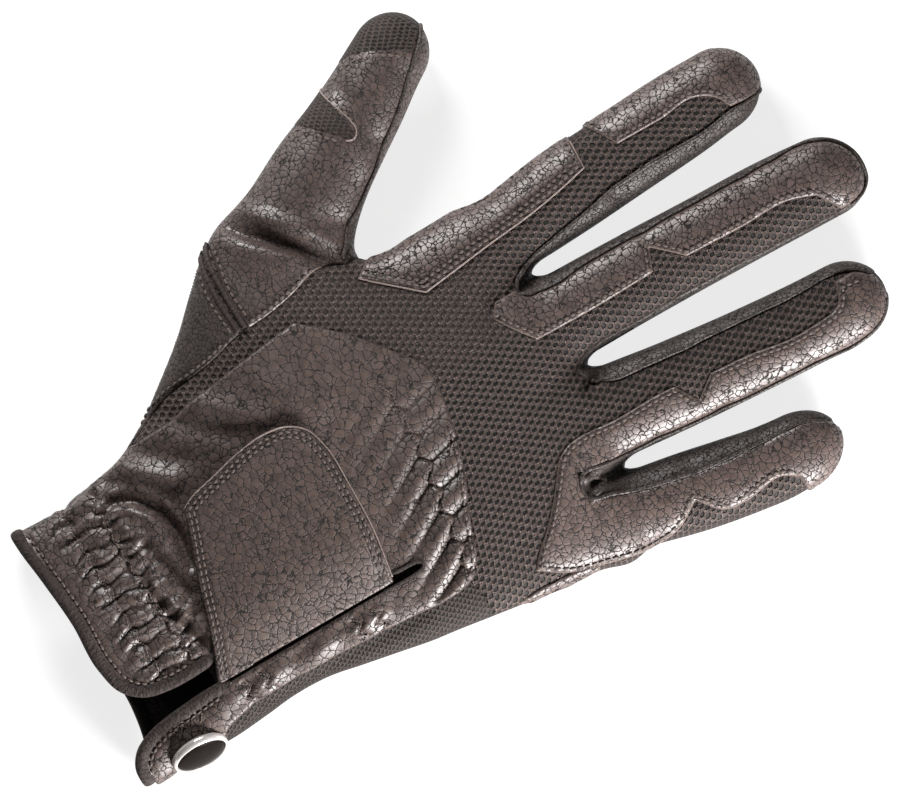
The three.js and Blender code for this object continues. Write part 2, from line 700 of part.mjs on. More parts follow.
// The closure tab, its neck through the slit and its root under the slit's right edge
const tabLift = 0.7; // lies on the wrist leather, over its flattened gathers
const tabOutline = [
  [0.442, 0.303], [0.434, 0.19], [0.431, 0.03], [0.434, -0.08], [0.447, -0.125], [0.475, -0.158], [0.515, -0.172],
  [0.565, -0.165], [0.63, -0.14], [0.675, -0.112], [0.699, -0.075], [0.72, -0.02], [0.737, 0.05], [0.765, 0.2],
  [0.797, 0.303],
].map(([along, across]) => onHand(along, across));
const tabInner = tabLift;
const tabOuter = tabLift + tabWall;
const neckOutline = (from, to) => [
  onHand(0.465, from), onHand(0.465, to), onHand(0.77, to), onHand(0.77, from),
];
const rootInner = -skinWall - clearance - rootWall;
const rootOuter = -skinWall - clearance;
const neckFrom = 0.288;
const neckTo = 0.303;
const tabPlate = wallBetween(tabInner, tabOuter).intersect(prism(tabOutline, seamHeight, ceiling));
const tabNeck = wallBetween(rootInner, tabOuter).intersect(prism(neckOutline(neckFrom, neckTo), seamHeight, ceiling));
const tabRoot = wallBetween(rootInner, rootOuter).intersect(prism(neckOutline(neckFrom, 0.39), seamHeight, ceiling));
const closureTab = mainBody(tabPlate.add(tabNeck).add(tabRoot).subtract(bindingRoom).subtract(wristLeather));

// The ribbed loop strip inside the cuff, seen through the slit
const loopRibs = 7;
const loopPatch = { length: 17, width: 18, wall: 1.2, rib: 0.5, along: 0.843, across: 0.225 };

function ribbedStrip({ length, width, wall, rib, along, across }) {
  const pitch = width / loopRibs;
  const shape = new THREE.Shape().moveTo(0, 0).lineTo(width, 0).lineTo(width, wall);
  for (let k = loopRibs; k > 0; k--) {
    shape.lineTo(k * pitch - pitch * 0.15, wall + rib);
    shape.lineTo(k * pitch - pitch * 0.6, wall + rib);
    shape.lineTo((k - 1) * pitch, wall);
  }
  const geometry = new THREE.ExtrudeGeometry(shape, { depth: length, bevelEnabled: false });
  geometry.rotateX(Math.PI / 2);
  const centre = onHand(along, across);
  geometry.translate(centre.x - width / 2, centre.y + length / 2, skinWall + clearance);
  return toSolid(geometry);
}

// The twin welts across the base of the thumb
const weltRadius = 0.75;
const weltSpacing = 2.3;

const weltDrop = 1.5; // from the edge of the thumb leather to the middle between the welts

function welt(shift) {
  const points = [[-0.23, 0.05], [-0.19, -0.33], [-0.14, -0.8], [-0.1, -1.15]].map(([along, across]) => {
    const place = onDigit(thumb, along, across);
    const y = place.y + shift - weltDrop;
    return new THREE.Vector3(place.x, y, topHeight(place.x, y, weltRadius) + weltRadius + clearance);
  });
  return bar(points, weltRadius, 6, 4);
}

const postDepth = skinWall + 2 * clearance;
const snapRimProfile = [
  [0, -postDepth - snap.floor], [snap.washer, -postDepth - snap.floor], [snap.washer, -postDepth],
  [snap.post, -postDepth], [snap.post, 0], [snap.radius - 0.8, 0], [snap.radius, 0.7],
  [snap.radius, snap.rimHeight - 0.6], [snap.radius - snap.rimWidth / 2, snap.rimHeight],
  [snap.radius - snap.rimWidth, snap.rimHeight - 0.5], [snap.radius - snap.rimWidth, snap.floor], [0, snap.floor],
];
const capRadius = snap.radius - snap.rimWidth - clearance;
const snapCapProfile = [
  [0, snap.floor + clearance], [capRadius, snap.floor + clearance], [capRadius, snap.rimHeight - 0.5],
  [capRadius * 0.72, snap.rimHeight + 0.1], [capRadius * 0.38, snap.rimHeight + 0.45], [0, snap.rimHeight + 0.6],
];
const snapHole = toSolid(
  turned([[0, -6], [snap.post + clearance, -6], [snap.post + clearance, 4], [0, 4]]).applyMatrix4(snapPose),
);
const snapWasherRoom = toSolid(
  turned([
    [0, -postDepth - snap.floor - 3], [snap.washer + clearance, -postDepth - snap.floor - 3],
    [snap.washer + clearance, -postDepth + clearance], [0, -postDepth + clearance],
  ]).applyMatrix4(snapPose),
);
const clearOfSnap = (solid) => solid.subtract(snapHole).subtract(snapWasherRoom);

// Materials, with the colours, roughness and metalness of the real finishes
const leather = new THREE.MeshStandardMaterial({ color: 0x5d4e4a, roughness: 0.5 });
const leatherDark = new THREE.MeshStandardMaterial({ color: 0x4a3d3a, roughness: 0.55 });
const knit = new THREE.MeshStandardMaterial({ color: 0x4b403d, roughness: 0.9 });
const bindingTape = new THREE.MeshStandardMaterial({ color: 0x4e423f, roughness: 0.75 });
const loopTape = new THREE.MeshStandardMaterial({ color: 0x17120f, roughness: 0.95 });
const bareMetal = new THREE.MeshStandardMaterial({ color: 0xd8d0cc, roughness: 0.22, metalness: 1 });
const blackEnamel = new THREE.MeshStandardMaterial({ color: 0x120d0b, roughness: 0.15 });

const glove = new THREE.Group();

function add(name, solid, material) {
  const mesh = new THREE.Mesh(toGeometry(solid), material);
  mesh.name = name;
  glove.add(mesh);
}

add("back_mesh", mainBody(rest.intersect(slab(aboveSeam, ceiling))), knit);
add("palm_leather", mainBody(clearOfSnap(rest.intersect(slab(-skinWall, belowSeam)))), leatherDark);
add("wrist_leather", mainBody(clearOfSnap(wristLeather)), leather);
add("thumb_leather", thumbLeather, leather);
add("heel_leather", heelLeather, leatherDark);
add("thumb_tip_mesh", thumbTipMesh, knit);
add("thumb_knuckle_mesh", thumbKnuckleMesh, knit);
add("fourchette_index_middle", indexFourchette, leatherDark);
add("fourchette_middle_ring", middleFourchette, leatherDark);
add("fourchette_ring_little", ringFourchette, leatherDark);
add("index_lower_patch", indexLowerPatch, leather);
add("index_tip_patch", indexTipPatch, leather);
add("middle_patch", middlePatch, leather);
add("ring_little_patch", ringLittlePatch, leather);
add("edge_patch", edgePatch, leather);
add("closure_tab", closureTab, leather);
add("cuff_binding", binding, bindingTape);
add("loop_strip", ribbedStrip(loopPatch), loopTape);
add("thumb_welt_upper", welt(weltSpacing / 2), bindingTape);
add("thumb_welt_lower", welt(-weltSpacing / 2), bindingTape);
add("snap_rim", toSolid(turned(snapRimProfile).applyMatrix4(snapPose)), bareMetal);
add("snap_cap", toSolid(turned(snapCapProfile).applyMatrix4(snapPose)), blackEnamel);

export default glove;
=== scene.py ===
# A riding glove for the right hand, lying palm down: mesh, leather panels, stitching, binding, tab and snap.
# Shapes are worked out in millimetres, in the frame of the CAD model, and written to the meshes in metres.
import math

import bpy
import numpy as np
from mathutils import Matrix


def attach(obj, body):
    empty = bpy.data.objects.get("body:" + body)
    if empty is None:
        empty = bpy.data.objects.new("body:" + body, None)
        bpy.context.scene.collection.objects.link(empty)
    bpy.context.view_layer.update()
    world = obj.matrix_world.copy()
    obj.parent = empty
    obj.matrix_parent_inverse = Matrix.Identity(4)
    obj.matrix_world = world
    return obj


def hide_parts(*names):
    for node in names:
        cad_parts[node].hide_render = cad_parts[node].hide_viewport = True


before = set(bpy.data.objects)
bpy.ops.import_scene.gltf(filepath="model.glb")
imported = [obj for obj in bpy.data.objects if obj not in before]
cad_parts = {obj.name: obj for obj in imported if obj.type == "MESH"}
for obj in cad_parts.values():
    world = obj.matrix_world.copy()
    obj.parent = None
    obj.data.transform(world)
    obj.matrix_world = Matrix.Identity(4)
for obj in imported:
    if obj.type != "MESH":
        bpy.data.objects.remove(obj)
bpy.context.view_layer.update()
metre = 0.001  # millimetres to metres
seamHeight = 7.4  # the seam between the back and the palm
sink = 0.9  # how far the soft underside is pressed flat
scene = bpy.context.scene

# The form of the glove

hand = {  # rows from the cuff to the finger webs: y, left and right edge, thickness
    "rows": [
        (-132, -28.2, 48.0, 17.5), (-120, -27.8, 48.0, 17.5), (-110, -27.3, 47.6, 17.5),
        (-100, -28.9, 47.8, 18.0), (-90, -31.3, 47.0, 19.0), (-80, -36.4, 46.0, 20.5),
        (-70, -43.6, 46.3, 22.0), (-60, -51.6, 48.2, 23.2), (-50, -61.1, 50.1, 24.2),
        (-41, -68.6, 51.8, 24.6), (-34, -68.0, 52.7, 24.5), (-24, -59.6, 54.2, 24.0),
        (-14, -50.0, 55.6, 23.0), (-6, -45.2, 56.2, 22.0), (6, -43.2, 56.0, 20.5),
        (18, -41.6, 56.2, 18.5), (24, -41.2, 42.0, 17.2), (30, -41.0, 34.0, 15.0),
    ],
    "squareness": 2.7,
    "frontFrom": 19.0,  # where the hand starts to round off towards the webs
    "frontReach": 11.0,
}
# Digits: root, direction in degrees, length, thickness, and rows of along, sideways shift and half width
digits = {
    "index": {
        "root": (-33.3, 28), "angle": 90, "length": 81.2, "tip": 11.0, "thickness": 16.8,
        "rows": [(-30, 1.3, 8.8), (0, 0.9, 10.5), (20, -0.9, 11.6), (40, -2.2, 11.5), (60, -3.4, 11.2),
                 (70, -4.0, 10.6), (82, -4.2, 10.4)],
    },
    "middle": {
        "root": (-5.4, 30), "angle": 90, "length": 92.0, "tip": 11.2, "thickness": 17.2,
        "rows": [(-30, 0, 11.0), (0, 0, 11.8), (20, 0.1, 11.6), (45, 0.7, 11.3), (70, 1.5, 11.2),
                 (80, 2.1, 10.9), (92, 3.1, 10.5)],
    },
    "ring": {
        "root": (22.6, 30), "angle": 90, "length": 80.7, "tip": 11.2, "thickness": 16.6,
        "rows": [(-30, -1.2, 11.2), (0, 0.3, 12.3), (20, 2.6, 11.8), (40, 4.5, 11.3), (60, 5.9, 11.0),
                 (70, 6.2, 10.8), (82, 6.4, 10.5)],
    },
    "little": {
        "root": (48.8, 22), "angle": 90, "length": 58.8, "tip": 11.6, "thickness": 15.4,
        "rows": [(-30, -3.4, 9.0), (-12, -1.9, 9.2), (0, 0.1, 10.3), (15, 3.2, 11.1), (30, 6.1, 10.9),
                 (40, 7.7, 10.5), (50, 8.0, 9.8), (60, 7.6, 9.3)],
    },
    "thumb": {
        "root": (-56, -28), "angle": 119, "length": 75.0, "tip": 10.2, "thickness": 19.6,
        "rows": [(-10, -1.0, 13.6), (8, -0.8, 14.8), (15, -1.1, 14.2), (29, -2.0, 12.8), (40, -1.9, 11.5),
                 (50, -2.0, 10.7), (62, -2.6, 9.8), (76, -2.8, 9.4)],
    },
}
digitSquareness = 2.15
webBlend = 4.5  # how softly a finger runs into the hand
thumbBlend = 4.5


def tableAt(x, columns, k):
    # Smooth curve through a table: between two rows a cubic whose end slopes are those of the neighbours
    xs = np.array([row[0] for row in columns], float)
    ys = np.array([row[k] for row in columns], float)
    slopes = np.gradient(ys, xs)
    x = np.clip(x, xs[0], xs[-1])
    i = np.clip(np.searchsorted(xs, x) - 1, 0, len(xs) - 2)
    h = xs[i + 1] - xs[i]
    t = (x - xs[i]) / h
    return ((2 * t**3 - 3 * t**2 + 1) * ys[i] + (t**3 - 2 * t**2 + t) * h * slopes[i]
            + (3 * t**2 - 2 * t**3) * ys[i + 1] + (t**3 - t**2) * h * slopes[i + 1])


def digitAxes(digit):
    angle = math.radians(digit["angle"])
    return math.cos(angle), math.sin(angle)


def digitField(digit, x, y, z):
    # Below 0 inside the digit: the superellipse radius of the section, joined with the reach beyond the tip
    fx, fy = digitAxes(digit)
    dx, dy = x - digit["root"][0], y - digit["root"][1]
    along = dx * fx + dy * fy
    across = dx * fy - dy * fx - tableAt(along, digit["rows"], 1)
    half = tableAt(along, digit["rows"], 2)
    high = digit["thickness"] / 2 * (1 - 0.1 * np.clip(along / digit["length"], 0, 1))
    section = (np.abs(across / half) ** digitSquareness
               + np.abs((z - high + sink) / high) ** digitSquareness) ** (2 / digitSquareness)
    tipFrom = digit["length"] - digit["tip"]
    back = digit["rows"][0][0] + 12
    beyond = np.maximum(along - tipFrom, 0) / digit["tip"] + np.maximum(back - along, 0) / 12
    return (np.sqrt(section + beyond**2) - 1) * np.minimum(half, high)


def handField(x, y, z):
    # The same for the hand, whose sections lie across it
    left, right = tableAt(y, hand["rows"], 1), tableAt(y, hand["rows"], 2)
    high = tableAt(y, hand["rows"], 3) / 2
    n = hand["squareness"]
    section = (np.abs((x - (left + right) / 2) / ((right - left) / 2)) ** n
               + np.abs((z - high + sink) / high) ** n) ** (2 / n)
    beyond = np.maximum(y - hand["frontFrom"], 0) / hand["frontReach"]
    return (np.sqrt(section + beyond**2) - 1) * high


def blend(a, b, reach):
    # The lower of two fields, rounded where they meet within reach
    share = np.clip(0.5 + 0.5 * (b - a) / reach, 0, 1)
    return b + (a - b) * share - reach * share * (1 - share)


def gloveField(x, y, z):
    fingers = None
    for name in ("index", "middle", "ring", "little"):
        one = digitField(digits[name], x, y, z)
        fingers = one if fingers is None else blend(fingers, one, 1.2)
    whole = blend(handField(x, y, z), fingers, webBlend)
    whole = blend(whole, digitField(digits["thumb"], x, y, z), thumbBlend)
    return -blend(-whole, z, 0.8)  # pressed flat on the table


def gradient(p, reach=0.05):
    # Slopes of the field by differences on both sides
    x, y, z = p.T
    return np.stack([
        gloveField(x + reach, y, z) - gloveField(x - reach, y, z),
        gloveField(x, y + reach, z) - gloveField(x, y - reach, z),
        gloveField(x, y, z + reach) - gloveField(x, y, z - reach),
    ], 1) / (2 * reach)


def ontoForm(p, steps=3):
    # Moves points along the slope until the field is 0, and gives them with their outward directions
    for _ in range(steps):
        slope = gradient(p)
        p = p - slope * (gloveField(*p.T) / np.maximum((slope**2).sum(1), 0.04))[:, None]
    slope = gradient(p)
    return p, slope / np.linalg.norm(slope, axis=1)[:, None]


def widest(x, y):
    # The height at which the sides stand out most
    return np.where((x < -50) | (y < 8), 9.4, seamHeight)


def drape(x, y):
    # Points of the form straight above places on the table, by halving the height
    low, high = widest(x, y), np.full(len(x), 32.0)
    for _ in range(13):
        middle = (low + high) / 2
        inside = gloveField(x, y, middle) < 0
        low, high = np.where(inside, middle, low), np.where(inside, high, middle)
    return ontoForm(np.stack([x, y, (low + high) / 2], 1), 2)


# Low relief: soft folds and dents, each a bell across a line from one place to another
folds = {
    "rows": [  # x and y of both ends, height, width
        (-67, -25, -60, -17, 0.8, 3.0), (-60, -10, -54, -3, -0.8, 3.0),
        (2, -98, 21, -91.5, 1.2, 1.5), (6, -100, 22, -95, -1.1, 1.3), (-9, -95, 8, -91.5, -1.1, 1.6),
        (-36, -74, -23, -60, -0.9, 3.2), (-33, -64, -22, -50, 1.3, 4.0), (-33, -86, -23, -74, -0.8, 2.8),
        (-30, -46, -18, -36, 0.9, 4.6), (-29, -90, -20, -80, 1.4, 2.8), (-32, -99, -24, -91, -0.7, 2.4),
        (-14, -97, -6, -90.5, 0.9, 1.8),
        (-44, 60, -24, 61, -0.7, 3.5), (-46, 30, -26, 33, -0.35, 3.0), (-46, 82, -28, 83, -0.3, 3.0),
        (-15, 62, 5, 63, -0.5, 3.5), (-16, 36, 5, 38, -0.3, 3.0), (-14, 92, 6, 94, -0.3, 3.0),
        (16, 56, 37, 57, -0.5, 3.5), (14, 36, 36, 38, -0.3, 3.0), (18, 84, 39, 84, -0.3, 3.0),
        (43, 42, 64, 43, -0.45, 3.0), (47, 62, 66, 62, -0.3, 2.6), (40, 22, 62, 24, -0.3, 3.0),
        (-92, 10, -72, 12, -0.6, 2.6), (-88, 2, -66, 6, 0.4, 3.0), (-93, 24, -78, 29, -0.3, 2.5),
        (-30, 20, 20, 17, 0.5, 7.0), (-18, 24, -17, 12, -0.5, 3.0), (8, 27, 9, 16, -0.5, 3.0),
        (44, -40, 44, -90, -0.6, 2.2), (38.5, -48, 38.5, -94, 0.7, 2.0),
        (37.2, 27, 36.8, 17.5, -2.4, 1.7), (34.2, 14.6, 37.2, 20.5, 0.9, 0.7),
        (37.2, 20.5, 40.2, 14.6, 0.9, 0.7), (12.4, 33, 14, 28.4, -2.0, 1.3),
        (-17.6, 30, -17.4, 26, -1.4, 1.2), (-21.5, 28, -24.5, 22, 0.6, 1.0),
    ],
    # Creases: places along each, depth, then on their right side the height and reach of a bulge, and
    # how gently the left side and how steeply the right side runs into the crease
    "creases": [
        ([(-71, -33.5), (-63, -26), (-56, -19.4), (-49.5, -15)], 4.4, 2.8, 8.0, 3.8, 2.2),
        ([(-23.5, -98), (-20.5, -91.5), (-15.5, -87.4), (-8, -85.9), (2, -86.6)], 2.9, 1.7, 4.4, 2.2, 1.8),
    ],
}


def lineDistance(x, y, row):
    # Distance from a line between two places, and the share of the line that is nearest
    x0, y0, x1, y1 = row[:4]
    length = (x1 - x0) ** 2 + (y1 - y0) ** 2
    share = np.clip(((x - x0) * (x1 - x0) + (y - y0) * (y1 - y0)) / length, 0, 1)
    return np.hypot(x - x0 - share * (x1 - x0), y - y0 - share * (y1 - y0)), share


def bell(x, width):
    # The curve e to the power of minus the square of x over width
    return np.exp(-((x / width) ** 2))


def softStep(x, low, high):
    # 0 below low, 1 above high, a cubic between
    t = np.clip((x - low) / (high - low), 0, 1)
    return t * t * (3 - 2 * t)


def creaseHeight(x, y, row):
    # A valley along the line: on the left it fades by a power of e, on the right it ends steeply and a bulge
    # follows, and both are deepest halfway along
    places, depth, bulge, reach, gentle, steep = row
    away, at, right = np.full(len(x), 1e9), np.zeros(len(x)), np.zeros(len(x), bool)
    for k, (a, b) in enumerate(zip(places, places[1:])):
        one, share = lineDistance(x, y, (*a, *b))
        nearer = one < away
        side = (x - a[0]) * (b[1] - a[1]) - (y - a[1]) * (b[0] - a[0]) > 0
        away, right = np.where(nearer, one, away), np.where(nearer, side, right)
        at = np.where(nearer, (k + share) / (len(places) - 1), at)
    into = bell(away, steep)
    beside = bulge * (1 - into) * bell(away, reach) - depth * into
    left = bulge * 0.5 * bell(away - 1.3 * gentle, 0.6 * gentle) - depth * np.exp(-away / gentle)
    return np.where(right, beside, left) * (0.4 + 2.4 * at * (1 - at))


def foldHeight(x, y):
    total = np.zeros(len(x))
    for row in folds["rows"]:
        away, _ = lineDistance(x, y, row)
        total += row[4] * bell(away, row[5])
    for row in folds["creases"]:
        total += creaseHeight(x, y, row)
    return total


def placed(p, n, offset, relief=1.0):
    # A surface at an offset from the form, raised by the folds where it faces up
    up = np.clip((n[:, 2] - 0.15) / 0.5, 0, 1)
    return p + n * (offset + relief * up * foldHeight(p[:, 0], p[:, 1]))[:, None]


# Curves and outlines on the table

def curve(points, spacing=0.6, closed=False):
    # A smooth line through places: cubics by the distance travelled. A place given twice is a corner.
    points = np.array(points, float)
    if closed:
        points = np.vstack([points, points[:1]])
    runs, start = [], 0
    for i in range(1, len(points)):
        if np.allclose(points[i], points[i - 1]):
            runs.append(points[start:i])
            start = i
    runs.append(points[start:])
    made = []
    for run in runs:
        if len(run) < 2:
            continue
        travelled = np.concatenate([[0], np.cumsum(np.linalg.norm(np.diff(run, axis=0), axis=1))])
        at = np.linspace(0, travelled[-1], max(int(travelled[-1] / spacing), 2) + 1)
        table = np.column_stack([travelled, run])
        made.append(np.stack([tableAt(at, table, k + 1) for k in range(run.shape[1])], 1)[:-1])
    made.append(points[-1:])
    line = np.vstack(made)
    return line[:-1] if closed else line


def edgeDistance(p, outline):
    # Distance from a closed outline, above 0 inside it, and the nearest place on it
    a, b = outline, np.roll(outline, -1, 0)
    d = b - a
    distance, nearest = np.empty(len(p)), np.empty((len(p), 2))
    for part in np.array_split(np.arange(len(p)), max(len(p) // 4000, 1)):
        q = p[part, None, :]
        share = np.clip(((q - a) * d).sum(2) / np.maximum((d**2).sum(1), 1e-9), 0, 1)
        foot = a + share[..., None] * d
        away = np.linalg.norm(q - foot, axis=2)
        best = away.argmin(1)
        rows = np.arange(len(part))
        crossing = ((a[:, 1] > q[..., 1]) != (b[:, 1] > q[..., 1])) & (
            q[..., 0] < a[:, 0] + (q[..., 1] - a[:, 1]) * d[:, 0] / np.where(d[:, 1] == 0, 1e-9, d[:, 1]))
        inside = crossing.sum(1) % 2 == 1
        distance[part] = np.where(inside, 1, -1) * away[rows, best]
        nearest[part] = foot[rows, best]
    return distance, nearest


def fillOutline(outline, cell):
    # A square grid over the outline, kept where a square's middle is inside, its border moved onto the line
    low, high = outline.min(0) - cell, outline.max(0) + cell
    nx, ny = (np.ceil((high - low) / cell).astype(int) + 1)
    gx, gy = np.meshgrid(low[0] + cell * np.arange(nx), low[1] + cell * np.arange(ny), indexing="ij")
    p = np.stack([gx.ravel(), gy.ravel()], 1)
    quads = gridQuads(nx, ny, flip=True)
    middle, _ = edgeDistance(p[quads].mean(1), outline)
    quads = quads[middle > 0]
    uses = np.bincount(quads.ravel(), minlength=len(p))
    used = np.flatnonzero(uses)
    distance, nearest = edgeDistance(p[used], outline)
    rim = uses[used] < 4
    distance = np.where(rim, 0, distance)
    p[used[rim]] = nearest[rim]
    index = np.full(len(p), -1)
    index[used] = np.arange(len(used))
    return p[used], index[quads], distance


# Meshes

def makePiece(name, points, faces, material, replaced=(), wall=0.0, values=None):
    # points in millimetres, faces all with the same count of corners, values are numbers for each point
    mesh = bpy.data.meshes.new(name)
    count, corners = faces.shape
    mesh.vertices.add(len(points))
    mesh.vertices.foreach_set("co", (points * metre).astype(np.float32).ravel())
    mesh.loops.add(count * corners)
    mesh.loops.foreach_set("vertex_index", faces.astype(np.int32).ravel())
    mesh.polygons.add(count)
    mesh.polygons.foreach_set("loop_start", (np.arange(count) * corners).astype(np.int32))
    mesh.polygons.foreach_set("use_smooth", np.ones(count, bool))
    mesh.update(calc_edges=True)
    mesh.validate()
    for key, numbers in (values or {}).items():
        mesh.attributes.new(key, "FLOAT", "POINT").data.foreach_set("value", np.asarray(numbers, np.float32))
    piece = bpy.data.objects.new(name, mesh)
    scene.collection.objects.link(piece)
    mesh.materials.append(material)
    if wall:
        solid = piece.modifiers.new("wall", "SOLIDIFY")
        solid.thickness = wall * metre
        solid.offset = -1
    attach(piece, "root")
    if replaced:
        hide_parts(*replaced)
    return piece


def gridQuads(rows, columns, closedRows=False, closedColumns=False, flip=False):
    # A square between each place of a grid and its next neighbours, counted row by row
    lastRow, lastColumn = rows - (not closedRows), columns - (not closedColumns)
    i, j = np.meshgrid(np.arange(lastRow), np.arange(lastColumn), indexing="ij")
    nextI, nextJ = (i + 1) % rows, (j + 1) % columns
    quads = np.stack([i * columns + j, i * columns + nextJ, nextI * columns + nextJ, nextI * columns + j], -1)
    quads = quads.reshape(-1, 4)
    return quads[:, [0, 3, 2, 1]] if flip else quads


def tube(path, up, wide, high, sides=10, closed=False, squareness=2.0):
    # A superellipse carried along a path: wide lies across the path and the up directions, high along up
    ahead = np.roll(path, -1, 0) - np.roll(path, 1, 0) if closed else np.gradient(path, axis=0)
    ahead /= np.linalg.norm(ahead, axis=1)[:, None]
    side = np.cross(ahead, up)
    side /= np.linalg.norm(side, axis=1)[:, None]
    rise = np.cross(side, ahead)
    angle = np.linspace(0, 2 * np.pi, sides, endpoint=False)
    c, s = np.cos(angle), np.sin(angle)
    c, s = np.sign(c) * np.abs(c) ** (2 / squareness), np.sign(s) * np.abs(s) ** (2 / squareness)
    wide, high = np.broadcast_to(wide, len(path)), np.broadcast_to(high, len(path))
    p = (path[:, None] + side[:, None] * (wide[:, None] * c)[..., None]
         + rise[:, None] * (high[:, None] * s)[..., None])
    n = len(path)
    p, quads = p.reshape(-1, 3), gridQuads(n, sides, closed, True)
    if not closed:  # each end is drawn together to a blunt point
        p = np.vstack([p, path[:1], path[-1:]])
        k = np.arange(0, sides, 2)
        first, last = len(p) - 2, len(p) - 1
        caps = [np.stack([np.full(len(k), first), (k + 2) % sides, k + 1, k], 1)]
        base = (n - 1) * sides
        caps.append(np.stack([np.full(len(k), last), base + k, base + k + 1, base + (k + 2) % sides], 1))
        quads = np.vstack([quads, *caps])
    return p, quads


def joined(parts):
    # One mesh of many
    points, faces, start = [], [], 0
    for p, f in parts:
        points.append(p)
        faces.append(f + start)
        start += len(p)
    return np.vstack(points), np.vstack(faces)


def skinNet(low, high, cell):
    # Surface net: a point in each cell that the form crosses, at the mean of its edge crossings,
    # and a square round each grid edge that crosses
    axes = [np.arange(a, b + cell, cell) for a, b in zip(low, high)]
    shape = [len(a) for a in axes]
    grid = np.meshgrid(*axes, indexing="ij")
    value = gloveField(*[g.ravel() for g in grid]).reshape(shape)
    cells = [s - 1 for s in shape]
    total, hits = np.zeros(cells + [3]), np.zeros(cells)
    crossings = []
    for axis in range(3):
        a = np.take(value, np.arange(shape[axis] - 1), axis)
        b = np.take(value, np.arange(1, shape[axis]), axis)
        crosses = (a < 0) != (b < 0)
        crossings.append((crosses, a < 0))
        share = np.where(crosses, a / np.where(crosses, a - b, 1), 0)
        others = [k for k in range(3) if k != axis]
        for da in (0, 1):
            for db in (0, 1):
                cut = [slice(0, cells[axis])] * 3
                cut[others[0]] = slice(da, da + cells[others[0]])
                cut[others[1]] = slice(db, db + cells[others[1]])
                mask, part = crosses[tuple(cut)], share[tuple(cut)]
                hits += mask
                total[..., axis] += np.where(mask, part, 0)
                total[..., others[0]] += mask * da
                total[..., others[1]] += mask * db
    used = hits > 0
    index = np.full(cells, -1)
    index[used] = np.arange(used.sum())
    corner = np.stack(np.nonzero(used), 1)
    p = np.array(low) + cell * (corner + total[used] / hits[used][:, None])
    quads = []
    for axis in range(3):
        crosses, inside = crossings[axis]
        b, c = [(axis + 1) % 3, (axis + 2) % 3]
        at = np.stack(np.nonzero(crosses), 1)
        at = at[(at[:, b] > 0) & (at[:, b] < cells[b]) & (at[:, c] > 0) & (at[:, c] < cells[c])]
        corners = []
        for db, dc in ((1, 1), (0, 1), (0, 0), (1, 0)):
            move = np.zeros(3, int)
            move[b], move[c] = -db, -dc
            corners.append(index[tuple((at + move).T)])
        quad = np.stack(corners, 1)
        flip = ~inside[tuple(at.T)]
        quad[flip] = quad[flip][:, ::-1]
        quads.append(quad)
    return p, np.vstack(quads)


def keepFaces(p, faces, kept):
    # The kept faces with the points that they use
    faces = faces[kept]
    used = np.unique(faces)
    index = np.full(len(p), -1)
    index[used] = np.arange(len(used))
    return p[used], index[faces], used


def outlineOf(places, spacing=0.6):
    # A closed outline through places; one written with a third number is a corner
    doubled = []
    for place in places:
        doubled += [place[:2]] * (2 if len(place) == 3 else 1)
    if len(places[0]) == 3:
        doubled = doubled[1:]
    return curve(doubled, spacing, closed=True)


def lineOf(places, spacing=0.6):
    # An open line, with corners written in the same way
    doubled = []
    for place in places:
        doubled += [place[:2]] * (2 if len(place) == 3 else 1)
    return curve(doubled, spacing)


# Shader maths: a Value wraps an output socket, and arithmetic on it adds Math nodes

class Value:
    def __init__(self, finish, socket):
        self.finish, self.socket = finish, socket

    def math(self, operation, *others):
        numbers = dict(enumerate((self, *others)))
        return self.finish.node("ShaderNodeMath", {"operation": operation}, numbers)

    def __add__(self, other):
        return self.math("ADD", other)

    def __mul__(self, other):
        return self.math("MULTIPLY", other)

    def __sub__(self, other):
        return self.math("SUBTRACT", other)

    def __rsub__(self, other):
        return self.finish.node("ShaderNodeMath", {"operation": "SUBTRACT"}, {0: other, 1: self})

    def __truediv__(self, other):
        return self.math("DIVIDE", other)

    def __pow__(self, other):
        return self.math("POWER", other)

    __radd__, __rmul__ = __add__, __mul__

    def smooth(self, low, high):
        # 0 below low, 1 above high, and a soft step between
        return self.finish.node("ShaderNodeMapRange", {"interpolation_type": "SMOOTHSTEP"},
                                {"Value": self, "From Min": low, "From Max": high})


